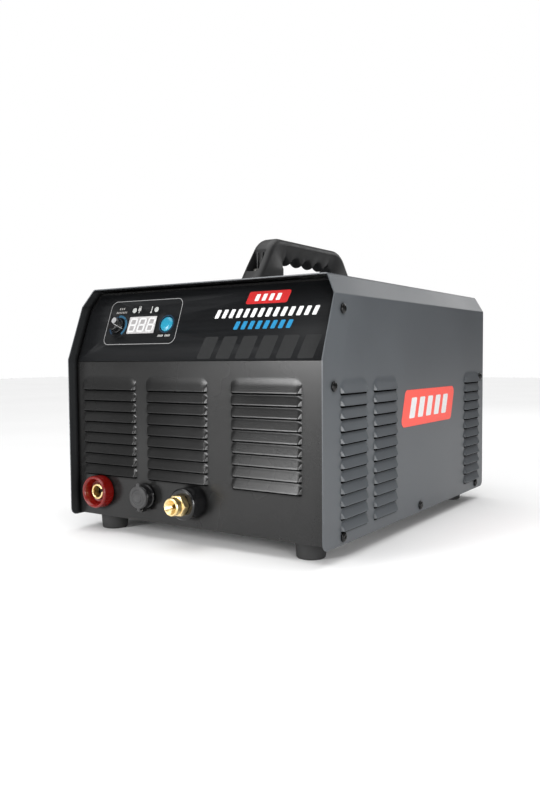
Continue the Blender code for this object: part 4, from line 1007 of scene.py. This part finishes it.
def make_control_socket():
    place = connector_place("control_socket_body")
    place.translation.x = middle("control_socket_pin").x
    shell = turned([(11.2, 10.8, 0.4), (12, 10, 0.5), (12, 3, 0.5), (13.2, 2.4, 0.6), (13.2, 0.2, 0.2), (10, 0.2, 0),
                    (10, -12, 0), (5, -12, 0), (5, -2, 0.3), (8.6, -2, 0.4), (8.6, 10.8, 0.4)], 3, 80, closed=True)
    new_piece("control_socket_shell", shell, GLOSS_BLACK, place, ["control_socket_body"])
    ear = [(-15.6, 3.8, 0.8), (-11.2, 3.8, 0.3), (-11.2, 10.2, 0.3), (-12.6, 10.2, 0.3), (-12.6, 12, 0.6),
           (-13.2, 12.6, 0.6), (-15, 12.6, 1.0), (-15.6, 12, 0.6)]
    outline = rounded(in_mm(ear), 3, closed=True)
    upright = Matrix(((0, 0, 1, 0), (1, 0, 0, 0), (0, 1, 0, 0), (0, 0, 0, 1)))
    for word, start in (("left", -4.4), ("right", 2.4)):
        bm = bmesh.new()
        prism(bm, outline, start * MM, (start + 2.0) * MM, upright)
        new_piece("cap_hinge_ear_" + word, bm, GLOSS_BLACK, place, edge=(0.25, 2, 50))

    place = Matrix.Translation(middle("control_socket_pin")) @ FRONT_TURN
    pin = turned([(0, -4.6, 0), (0.8, -4.6, 0.2), (0.8, 4.6, 0.2), (0, 4.6, 0)], 3, 24)
    new_piece("cap_hinge_rod", pin, ZINC, place @ turn_about("Y", pi / 2),
              ["control_socket_pin"], crease=30)
    lid = turned([(0, 3.0, 0), (3.6, 3.0, 0), (4.6, 3.3, 0.5), (5.2, 3.3, 0.3), (5.7, 2.6, 0.4), (7.9, 2.6, 0.4),
                  (8.4, 3.3, 0.3), (9.2, 3.3, 0.3), (9.7, 2.9, 0.3), (11.3, 2.9, 0.4), (12.3, 2.2, 0.9),
                  (12.3, 0.1, 0.3), (0, 0.1, 0)], 3, 96)
    tab = block(4.6, 6, 2.0, 0.5, 2.3, (0, 12.4))
    neck = block(4, 3.2, 0.3, 0.5, 1.8, (0, -12.3))
    rise = 13.8 * MM
    across = shift(0, -rise, 0) @ turn_about("Y", pi / 2)
    knuckle = turned([(1.0, -1.9, 0), (1.75, -1.9, 0), (1.75, 1.9, 0), (1.0, 1.9, 0)], 3, 24, closed=True,
                     matrix=across)
    lid = carved(lid, [tab, neck, knuckle], "UNION")
    new_piece("control_socket_lid", lid, CAP_RUBBER, place @ shift(0, rise, 0),
              ["control_socket_cap"], "socket_cap", edge=(0.2, 2, 50))


def make_torch_socket():
    place = connector_place("torch_socket_collar")
    ring = turned([(9.8, 20.3, 0.4), (15.0, 20.3, 0.6), (16.4, 18.9, 0.8), (16.4, 0.2, 0.2), (12, 0.2, 0),
                   (12, -10, 0), (9.8, -10, 0)], 4, 96, closed=True)
    new_piece("torch_socket_ring", ring, GLOSS_BLACK, place, ["torch_socket_collar"])
    tip = 37.2
    pipe = turned([(2.4, -18, 0), (2.4, tip - 6, 0.3), (3.0, tip - 5.4, 0.4), (7.4, tip, 0.3), (8.3, tip, 0.4),
                   (9.2, tip - 1.1, 0.5), (9.2, -18, 0.4)], 3, 96, closed=True)
    nut = carved(chamfered_hexagon(20, 20.6, 28.8), [plug(7, 10, 35, 48)])
    new_piece("torch_gas_fitting", carved(pipe, [nut], "UNION"), BRASS, place, ["torch_socket_fitting"],
              edge=(0.2, 2, 45))


# ---- control face

PRINT_LOW = 0.66 * MM
PRINT_TOP = 0.73 * MM


def printed_piece(name, bm, ink):
    new_piece(name, bm, ink, LEAN_PLACE, crease=30)


def bar(bm, x, up, width, height, slant=0.0, radius=0.3, top=PRINT_TOP):
    outline = box_outline(width * MM, height * MM, radius * MM, (x * MM, up * MM), slant * MM, 2)
    prism(bm, outline, PRINT_LOW, top)


def row_of_bars(bm, start, end, count, up, height, share, slant, radius=0.3, top=PRINT_TOP):
    """Equal slanted bars from start to end, in mm; share is how much of the length they cover."""
    pitch = (end - start) / count
    for number in range(count):
        bar(bm, start + pitch * (number + 0.5), up, pitch * share, height, slant, radius, top)


def arc_band(bm, centre, radius, width, start, end, steps=40):
    outlines = [], []
    for step in range(steps + 1):
        angle = radians(start + (end - start) * step / steps)
        along = Vector((cos(angle), sin(angle)))
        for outline, reach in zip(outlines, (radius + width / 2, radius - width / 2)):
            outline.append(tuple(Vector(centre) + along * reach * MM))
    band(bm, *outlines, PRINT_LOW, PRINT_TOP, closed=False)


def print_bars(name, ink, *rows):
    """One printed piece with several rows of bars."""
    bm = bmesh.new()
    for row in rows:
        row_of_bars(bm, *row)
    printed_piece(name, bm, ink)


def print_arcs(name, ink, *arcs):
    """One printed piece with bands around the current knob."""
    bm = bmesh.new()
    for width, start, end in arcs:
        arc_band(bm, lean_spot("current_knob"), 11.8, width, start, end)
    printed_piece(name, bm, ink)


def make_overlay():
    side = high("control_overlay").x
    cut = 12 * MM
    top = 82 * MM
    corners = [(-side, 0.6 * MM, 1.5 * MM), (side, 0.6 * MM, 1.5 * MM), (side, top - 2 * cut, 1.5 * MM),
               (side - cut, top, 1.5 * MM), (-side + cut, top, 1.5 * MM), (-side, top - 2 * cut, 1.5 * MM)]
    bm = bmesh.new()
    outer = ring_of(bm, [(x, y, 0) for x, y in rounded(corners, 4, closed=True)])
    fill_between(bm, outer, control_holes(), Matrix())
    face_outwards(bm, 1, (0, 0, 1))
    sheet = new_piece("overlay_film", bm, FILM_BLACK, on_lean(0, 0, 0.7 * MM), ["control_overlay"],
                      crease=30, repair=False)
    thicken(sheet, 0.4 * MM)

    bm = bmesh.new()
    outlines = [box_outline(width * MM, height * MM, radius * MM, (-78 * MM, 46.5 * MM), steps=8)
                for width, height, radius in ((106, 53, 8), (104.5, 51.5, 7.25))]
    band(bm, *outlines, PRINT_LOW, PRINT_TOP)
    printed_piece("control_outline_print", bm, INK_PALE)
    print_arcs("scale_bright_print", INK_TEAL, (2.6, 100, 42), (2.9, 38, -52))
    print_arcs("scale_dark_print", INK_NAVY, (1.6, 176, 106), (1.9, 232, 182))
    across = lean_spot("current_knob")[0] / MM
    print_bars("scale_marks_print", INK_DIM, (across - 4.5, across + 4.5, 3, 63.6, 2.6, 0.5, 0.4),
               (across - 8, across + 9, 7, 59.0, 2.4, 0.55, 0.3))

    bm = bmesh.new()
    button_x = lean_spot("gas_test_button")[0] / MM
    for start, end in ((-9, -1.2), (0.8, 8.6)):
        row_of_bars(bm, button_x + start, button_x + end, 4, 29.6, 2.5, 0.6, 0.3)
    lamp_x = lean_spot("power_indicator")[0] / MM + 7.9
    heat_x = lean_spot("overheat_indicator")[0] / MM - 6.6
    for mark in ((lamp_x, 61.8, 4.2, 3.6, 0.2, 1.0), (lamp_x - 0.2, 58.9, 1.2, 3.2, 0.0, 0.3),
                 (lamp_x - 1.0, 64.6, 0.8, 2.6, 0.1, 0.2), (lamp_x + 1.3, 64.6, 0.8, 2.6, 0.1, 0.2),
                 (heat_x, 61.8, 1.3, 6.4, 0.2, 0.6), (heat_x - 0.4, 57.8, 2.6, 2.6, 0.0, 1.2)):
        bar(bm, *mark)
    printed_piece("control_marks_print", bm, INK_SOFT)

    print_bars("stripe_white_print", INK_WHITE, (22, 148, 14, 51.6, 9.6, 0.55, 1.5, 0.8),
               (68, 102, 4, 68, 7.4, 0.55, 1.0, 0.5, PRINT_TOP + 0.03 * MM))
    print_bars("stripe_blue_print", INK_BLUE, (49, 121, 8, 38.3, 8.8, 0.58, 1.4, 0.8))
    print_bars("stripe_grey_print", INK_GREY, (10, 156, 6, 14.6, 24.0, 0.72, 3.0, 1.5))
    bm = bmesh.new()
    outer = box_outline(50 * MM, 13.6 * MM, 2.2 * MM, (85 * MM, 68 * MM), 1.8 * MM, 5)
    prism(bm, outer, PRINT_LOW - 0.03 * MM, PRINT_TOP - 0.01 * MM)
    printed_piece("badge_red_print", bm, INK_RED)


def make_display():
    """The display window with three seven-segment digits."""
    spot = lean_spot("display_module")
    bm = bmesh.new()
    prism(bm, box_outline(DISPLAY_WIDTH, DISPLAY_TALL, 0.6 * MM, spot), -11 * MM, 0.42 * MM)
    new_piece("display_window", bm, DISPLAY_FACE, LEAN_PLACE, ["display_module"], crease=30,
              edge=(0.15, 2, 40))
    width, height, thick, pitch = 10.4, 16.8, 2.0, 13.4       # of one digit, in mm
    segments = bmesh.new()
    shades = bmesh.new()

    def tile(target, x, up, across, tall, slant, top):
        centre = (spot[0] + x * MM, spot[1] + up * MM)
        prism(target, box_outline(across * MM, tall * MM, 0.5 * MM, centre, slant * MM, 2), 0.36 * MM, top * MM)

    for number in range(3):
        x = (number - 1) * pitch
        for level in (-1, 0, 1):
            tile(segments, x + level, level * (height - thick) / 2, width - thick - 0.4, thick, 0.1, 0.52)
        for half in (-1, 1):
            up = half * (height - thick) / 4
            for side in (-1, 1):
                tile(segments, x + side * (width - thick) / 2 + half / 2, up, thick, (height - thick) / 2 - 0.4,
                     0.5, 0.52)
            tile(shades, x + half / 2, up, width - 2 * thick - 0.4, (height - 3 * thick) / 2 - 0.3, 0.3, 0.46)
    for x in (-pitch / 2, pitch / 2):
        tile(shades, x, 0, 1.3, 15.5, 0.9, 0.46)
    new_piece("display_digits", segments, DISPLAY_SEGMENT, LEAN_PLACE, crease=30)
    new_piece("display_shading", shades, DISPLAY_SHADE, LEAN_PLACE, crease=30)


def make_controls():
    for node, name in (("power_indicator", "power_lamp_lens"), ("overheat_indicator", "overheat_lamp_lens")):
        lens = turned([(0, 0.95, 0), (2.6, 0.85, 2.0), (3.2, 0.3, 0.4), (3.2, -5, 0), (0, -5, 0)], 4, 40)
        new_piece(name, lens, LAMP, on_lean(*lean_spot(node)), [node], crease=40)

    spot = lean_spot("gas_test_button")
    cap = turned([(0, 2.6, 0), (5.4, 2.25, 6), (8.1, 1.0, 1.4), (8.6, -0.6, 0.6), (8.6, -4.5, 0.2), (3, -4.5, 0),
                  (3, -9, 0.3), (0, -9, 0)], 5, 72)
    new_piece("gas_test_cap", cap, BLUE_GLOSS, on_lean(*spot), ["gas_test_button"], "test_button", 40)
    bm = bmesh.new()
    arc_band(bm, spot, 9.9, 1.1, 0, 359.5, 72)
    printed_piece("button_ring_print", bm, INK_NAVY)

    x, up = lean_spot("current_knob")
    place = on_lean(x, up)
    knob = turned([(0, 9.35, 0), (6.6, 9.35, 0.6), (7.4, 8.6, 0.7), (7.75, 7.0, 2.0), (8.1, 3.4, 0.6),
                   (8.5, 2.8, 0.3), (8.5, 1.2, 0.3), (3.3, 1.2, 0), (3.3, 7, 0), (0, 7, 0)], 3, 144,
                  cut=grooves(24, 0.22, 3.3, 8.8, 7))
    dimple = turned([(0, 8.95, 0), (3.1, 9.1, 0), (3.7, 9.6, 0), (0, 9.8, 0)], 3, 40,
                    matrix=shift(0.3 * MM, 3.6 * MM, 0))
    new_piece("current_knob_cap", carved(knob, [dimple]), GLOSS_BLACK, place, ["current_knob"],
              "current_control")
    # The pale grey disc in the dimple is a painted highlight on the knob's top.
    highlight_disc = turned([(0, 8.8, 0), (3.0, 8.9, 0), (3.5, 9.36, 0), (1.9, 9.14, 0), (0, 9.08, 0)], 3, 40)
    new_piece("current_knob_painted_highlight", highlight_disc, KNOB_PAINTED_HIGHLIGHT, on_lean(x + 0.3 * MM, up + 3.6 * MM),
              body="current_control", crease=30)
    bm = bmesh.new()
    rings = []
    for radius, height in ((0.2, 9.4), (3.4, 9.4), (6.3, 9.4), (7.0, 9.05), (7.45, 8.5), (7.7, 7.2), (7.95, 5.2),
                           (8.15, 3.5), (8.55, 2.75), (8.55, 1.4)):
        inner = (max(radius - 0.3, 0.1), height - 0.3)
        outer = (radius + 0.06, height + 0.05)
        places = [(inner[0], -0.4, inner[1]), (inner[0], 0.4, inner[1]), (outer[0], 0.4, outer[1]),
                  (outer[0], -0.4, outer[1])]
        rings.append(ring_of(bm, in_mm(places)))
    capped(bm, rings)
    new_piece("current_knob_pointer", bm, INK_PALE,
              place @ turn_about("Z", radians(-24)), body="current_control", crease=30)


# ---- side labels

def make_side_labels():
    spot_y = FRONT + 253 * MM
    spot_z = FLOOR_GAP + 122 * MM
    for side, word in ((-1, "left"), (1, "right")):
        turn = Matrix(((0, 0, side, 0), (side, 0, 0, 0), (0, 1, 0, 0), (0, 0, 0, 1)))
        place = shift(side * (HALF + 0.02 * MM), spot_y, spot_z) @ turn
        label = block(151, 41, 7, 0, 0.12, slant=6.5, steps=6)
        new_piece("side_label_" + word, label, LABEL_RED, place, crease=30)
        bm = bmesh.new()
        for number in range(5):
            outline = box_outline(15 * MM, 23 * MM, 1.6 * MM, ((number - 2) * 24 * MM, 0), 4.0 * MM, 3)
            prism(bm, outline, 0.1 * MM, 0.16 * MM)
        new_piece("side_label_stripes_" + word, bm, LABEL_WHITE, place, crease=30)


# ---- rear fittings

FAN_CENTRE = middle("fan_guard")
FAN_SPIN = shift(FAN_CENTRE.x, middle("fan_housing").y, FAN_CENTRE.z) @ REAR_TURN


def make_fan():
    """A square-framed axial fan with seven twisted blades, seen through its wire guard."""
    half = (high("fan_housing").y - low("fan_housing").y) / 2 / MM
    frame_body = block(120, 120, 6, -half, half, steps=6)
    tools = [turned([(0, -half - 1, 0), (58.5, -half - 1, 0), (57, -half + 3, 0), (57, half - 3, 0),
                     (58.5, half + 1, 0), (0, half + 1, 0)], steps=96)]
    for x in (-52.5, 52.5):
        for y in (-52.5, 52.5):
            tools.append(plug(2.2, -half - 1, half + 1, 20, shift(x * MM, y * MM, 0)))
    frame_body = carved(frame_body, tools)
    struts = [turned([(0, -half + 0.5, 0), (20, -half + 0.5, 0.8), (20, -half + 4, 0.5), (0, -half + 4, 0)])]
    for turn, wide in ((0, 2.8), (pi / 2, 3.0)):
        struts.append(block(116, 5, 0.5, -half + 0.7, -half + 0.7 + wide, matrix=turn_about("Z", turn)))
    new_piece("fan_frame", carved(frame_body, struts, "UNION"), BLACK_PLASTIC, FAN_SPIN,
              ["fan_housing"], edge=(0.4, 2, 40))

    hub = turned([(0, -7.4, 0), (19.6, -7.4, 0.5), (20, -6.8, 0.5), (20, 9.6, 1.6), (18.4, 11, 1.2), (11, 10.6, 0.4),
                  (10.6, 9.9, 0.4), (0, 9.9, 0)], 4, 72)
    blades = bmesh.new()
    for number in range(7):
        fan_blade(blades, TAU * number / 7)
    new_piece("fan_blades", carved(hub, [blades], "UNION"), BLACK_PLASTIC, FAN_SPIN, ["fan_rotor"],
              "fan")


def fan_blade(bm, turn):
    """One blade: twisted, cambered and swept, 1.5 mm thick."""
    spans = 8
    chords = 8
    sheets = []
    for lift in (-0.75 * MM, 0.75 * MM):
        rings = []
        for span in range(spans + 1):
            part = span / spans
            radius = (19.2 + (53.6 - 19.2) * part) * MM
            chord = (21 + 7 * part) * MM
            pitch = radians(40 - 17 * part)
            places = []
            for step in range(chords + 1):
                across = step / chords - 0.5
                angle = turn + 0.18 * part + across * chord * cos(pitch) / radius
                rounding = 1 - 0.75 * (2 * abs(across)) ** 6
                height = across * chord * sin(pitch) * 0.92 + 1.4 * MM * (1 - 4 * across * across)
                height += 1.2 * MM + lift * rounding
                places.append((radius * cos(angle), radius * sin(angle), height))
            rings.append(ring_of(bm, places))
        sheets.append(rings)
    for rings in sheets:
        skin(bm, rings, closed_ring=False)
    for index in (0, -1):
        skin(bm, [sheets[0][index], sheets[1][index]], closed_ring=False)
        skin(bm, [[ring[index] for ring in sheets[0]], [ring[index] for ring in sheets[1]]], closed_ring=False)


def make_fan_guard():
    """Four rings and four spokes of round wire, each spoke ending in an eye under a screw."""
    wire = 1.1 * MM
    place = Matrix.Translation(FAN_CENTRE) @ REAR_TURN
    bm = bmesh.new()
    for radius in (14, 28, 42, 56):
        tube(bm, [Vector((x, y, 0.35 * MM)) for x, y in circle(radius * MM, 96)], wire * 0.9, 10, closed=True)
    eyes = []
    for number in range(4):
        angle = pi / 4 + number * pi / 2
        along = Vector((cos(angle), sin(angle), 0))
        path = [along * radius * MM for radius in (13.4, 20, 30, 40, 50, 58, 64, 70.6)]
        for spot in path:
            spot.z = -0.35 * MM
        tube(bm, path, wire * 0.72, 10)
        eye = along * 74.2 * MM
        eyes.append(eye)
        tube(bm, [Vector((x, y, -0.3 * MM)) for x, y in circle(3.4 * MM, 28, eye)], wire * 0.72, 10, closed=True)
    new_piece("fan_finger_guard", bm, WIRE, place, ["fan_guard"], crease=60)
    spots = []
    for number, eye in enumerate(eyes):
        spot = place @ shift(eye.x, eye.y, 0.5 * MM) @ turn_about("Z", 0.5 + number)
        spots.append((f"fan_screw_{number + 1}", spot, []))
    alike(pan_head_screw(4.0, 2.2, 1.9, 3.0, thread=False), ZINC, spots)


def rear_place(node, out=0.0):
    """On the rear panel's face at the middle of the node, local Z to the rear."""
    centre = middle(node)
    return shift(centre.x, REAR_FACE + out, centre.z) @ REAR_TURN


def make_power_switch():
    bm = block(32, 26, 2.4, 0.2, 2.7, steps=5)
    bm = carved(bm, [block(28, 22, 1, -25.6, 1)], "UNION")
    bm = carved(bm, [block(24, 18, 0.6, -11, 6)])
    new_piece("power_switch_frame", bm, BLACK_PLASTIC, rear_place("power_switch_body"),
              ["power_switch_body"], edge=(0.5, 3, 40))

    pivot = rear_place("power_switch_body", 1 * MM)
    outline = [(-11.0, 4.1)]
    for step in range(25):
        angle = radians(200 + 140 * step / 24)
        outline.append((10 * cos(angle), 10 * sin(angle)))
    for start, height, length, climb in ((11.0, 1.0, 10.6, 1.4), (0.4, 2.35, 11.4, 1.75)):
        outline.append((start, height))
        for step in range(1, 8):
            part = step / 8
            outline.append((start - length * part, height + climb * part - 0.9 * sin(pi * part)))
    upright = Matrix(((1, 0, 0, 0), (0, 0, -1, 0), (0, 1, 0, 0), (0, 0, 0, 1)))
    bm = bmesh.new()
    prism(bm, in_mm(outline), -8.4 * MM, 8.4 * MM, upright)
    new_piece("power_rocker_cap", bm, ROCKER_RED, pivot, ["power_rocker"], "rocker",
              edge=(0.4, 2, 50))
    bm = bmesh.new()
    tilt = shift(-5.3 * MM, 0, 2.45 * MM) @ turn_about("Y", atan2(1.75, 11.4))
    band(bm, circle(2.6 * MM, 32), circle(1.9 * MM, 32), -0.3 * MM, 0.5 * MM, tilt)
    tilt = shift(5.7 * MM, 0, 0.95 * MM) @ turn_about("Y", atan2(1.4, 10.6))
    prism(bm, box_outline(0.8 * MM, 5.4 * MM, 0.2 * MM), -0.3 * MM, 0.5 * MM, tilt)
    new_piece("power_rocker_marks", bm, INK_WHITE, pivot, body="rocker")


def thread_points(radius, bottom, top, pitch):
    """Crests and roots up a screw thread, as (radius, height, rounding) in mm."""
    points = []
    for step in range(round((top - bottom) / pitch)):
        height = bottom + pitch * step
        points += [(radius * 0.88, height, 0), (radius, height + pitch * 0.35, 0), (radius, height + pitch * 0.6, 0)]
    return points


def make_rear_fittings():
    place = rear_place("mains_gland")
    nut = turned([(6.8, 22.4, 0.5), (9.4, 22.9, 0.6), (12.4, 19.6, 1.6), (13.2, 17.6, 0.8), (13.2, 9.2, 0.6),
                  (12.2, 8.7, 0.2), (12.2, 8.2, 0.2), (14.9, 7.9, 0.5), (15, 0.2, 0.3), (10.2, 0.2, 0),
                  (10.2, -12, 0.4), (6.8, -12, 0.3)], 4, 144, closed=True, cut=grooves(12, 1.1, 9.0, 18.2, 10.5, 3))
    new_piece("mains_gland_nut", nut, BLACK_PLASTIC, place, ["mains_gland"], crease=40)
    seal = turned([(4.2, 21.4, 0.4), (6.7, 21.9, 0.4), (6.7, 2, 0), (4.2, 2, 0)], 4, 48, closed=True)
    new_piece("mains_gland_seal", seal, RUBBER, place, crease=40)

    inlet = turned([(3, 26, 0.3), (4.4, 26, 0.3), (5.8, 24.2, 0.2), (4.8, 24.0, 0.2), (4.8, 22.6, 0.1), (5.8, 21, 0.2),
                    (4.8, 20.8, 0.2), (4.8, 19.4, 0.1), (5.8, 17.8, 0.2), (4.8, 17.6, 0.2), (4.8, 15, 0.3),
                    (5.9, 14, 0.3), (5.9, 8, 0), (6.8, 0.2, 0), (6.8, -16, 0.3), (3, -16, 0.2)], 4, 72, closed=True)
    nut = carved(chamfered_hexagon(18, 0.25, 9), [plug(4.6, -5, 15)])
    new_piece("air_inlet_barb", carved(inlet, [nut], "UNION"), BRASS, rear_place("air_inlet"),
              ["air_inlet"], edge=(0.15, 2, 50))

    stud = turned([(0, -8, 0), (2.9, -8, 0.3)] + thread_points(3.0, -7, 13.2, 0.9)
                  + [(2.6, 13.6, 0.3), (2.1, 14, 0.2), (0, 14, 0)], 2, 40)
    washer = turned([(0, 0.2, 0), (6.1, 0.2, 0.2), (6.1, 1.3, 0.2), (0, 1.3, 0)], 2, 48)
    stud = carved(stud, [chamfered_hexagon(10.6, 1.4, 5.9), washer], "UNION")
    new_piece("earth_terminal", stud, BRASS, rear_place("earth_stud"), ["earth_stud"], edge=(0.12, 2, 50))


def paint_the_rest():
    """Materials for the CAD nodes that are shown as they are."""
    for node, look, *edge in (
            ("base_pan", PAN_PAINT), ("rear_panel", REAR_PAINT, 0.25, 2, 60), ("work_socket_nut", BLACK_PLASTIC, 0.3),
            ("torch_socket_nut", ZINC, 0.3), ("potentiometer_body", ZINC), ("potentiometer_shaft", ALUMINIUM),
            ("control_board", BOARD), ("power_board", BOARD), ("heat_sink", ALUMINIUM, 0.2),
            ("bus_capacitor_left", SLEEVE), ("bus_capacitor_right", SLEEVE), ("transformer", FERRITE),
            ("solenoid_valve", ZINC, 0.3), ("air_hose", HOSE)):
        paint(node, look, *edge)


for make in (make_cover, make_front_panel, make_cover_screws, make_handle, make_feet, make_work_socket,
             make_control_socket, make_torch_socket, make_overlay, make_display, make_controls,
             make_side_labels, make_fan, make_fan_guard, make_power_switch, make_rear_fittings,
             paint_the_rest):
    make()


# ---- floor, light and camera

def make_floor():
    bm = bmesh.new()
    bmesh.ops.create_grid(bm, x_segments=1, y_segments=1, size=6)
    mesh = bpy.data.meshes.new("studio_floor")
    bm.to_mesh(mesh)
    bm.free()
    look = Look("floor_paper", 0.85)
    look.colour(look.mix(look.span(look.noise(3, 2), 0.3, 0.7, 0, 1), (0.86, 0.86, 0.86), (0.88, 0.88, 0.88)))
    mesh.materials.append(look.material)
    floor = added("studio_floor", mesh)


def add_light(name, place, target, size, power):
    lamp = bpy.data.lights.new(name, "AREA")
    lamp.shape = "RECTANGLE"
    lamp.size, lamp.size_y = size
    lamp.energy = power
    holder = added(name, lamp)
    holder.location = place
    holder.rotation_euler = (Vector(target) - Vector(place)).to_track_quat("-Z", "Y").to_euler()
    holder.visible_camera = False


def make_world():
    """A studio that is bright overhead and dim to the sides, in front of plain white paper."""
    world = bpy.data.worlds.new("studio")
    bpy.context.scene.world = world
    world.use_nodes = True
    tree = world.node_tree
    white = (1, 1, 1, 1)
    backdrop = tree.nodes["Background"]
    backdrop.inputs["Color"].default_value = white
    backdrop.inputs["Strength"].default_value = 1.0
    direction = add_node(tree, "ShaderNodeTexCoord").outputs["Generated"]
    height = add_node(tree, "ShaderNodeSeparateXYZ", {0: direction}).outputs["Z"]
    rise = add_node(tree, "ShaderNodeMapRange", {"Value": height, "From Min": 0.6, "From Max": 0.95, "To Min": 0.16,
                                                 "To Max": 1.2})
    ambient = add_node(tree, "ShaderNodeBackground", {"Color": white, "Strength": rise.outputs["Result"]})
    seen = add_node(tree, "ShaderNodeLightPath").outputs["Is Camera Ray"]
    both = add_node(tree, "ShaderNodeMixShader", {0: seen, 1: ambient.outputs[0], 2: backdrop.outputs[0]})
    tree.links.new(both.outputs[0], tree.nodes["World Output"].inputs["Surface"])


def add_sun(name, strength, spread):
    lamp = bpy.data.lights.new(name, "SUN")
    lamp.energy = strength
    lamp.angle = radians(spread)
    added(name, lamp)


def make_camera():
    """Where the photo was taken from, solved from the object's own edges."""
    data = bpy.data.cameras.new("camera")
    data.sensor_width = 36
    data.lens = 35.04
    data.clip_end = 20
    camera = added("camera", data)
    yaw, pitch, roll = (radians(angle) for angle in (33.64, -3.168, -0.434))
    turn = turn_about("Z", yaw) @ turn_about("X", pi / 2 + pitch) @ turn_about("Z", roll)
    camera.matrix_world = shift(0.51905, -0.83497, 0.19656) @ turn
    bpy.context.scene.camera = camera


make_floor()
make_world()
make_camera()
add_sun("overhead_soft", 1.55, 70)
add_light("front_soft", (-0.56, -1.60, 0.52), (0.1, -0.2, 0.17), (0.5, 0.66), 19)
add_light("side_soft", (0.90, -0.70, 0.22), (0.12, -0.1, 0.10), (0.36, 0.40), 7.5)
add_light("rear_soft", (0.5, 1.7, 1.0), (0.1, 0, 0.15), (0.9, 0.7), 3.6)
bpy.context.scene.view_settings.view_transform = "Standard"
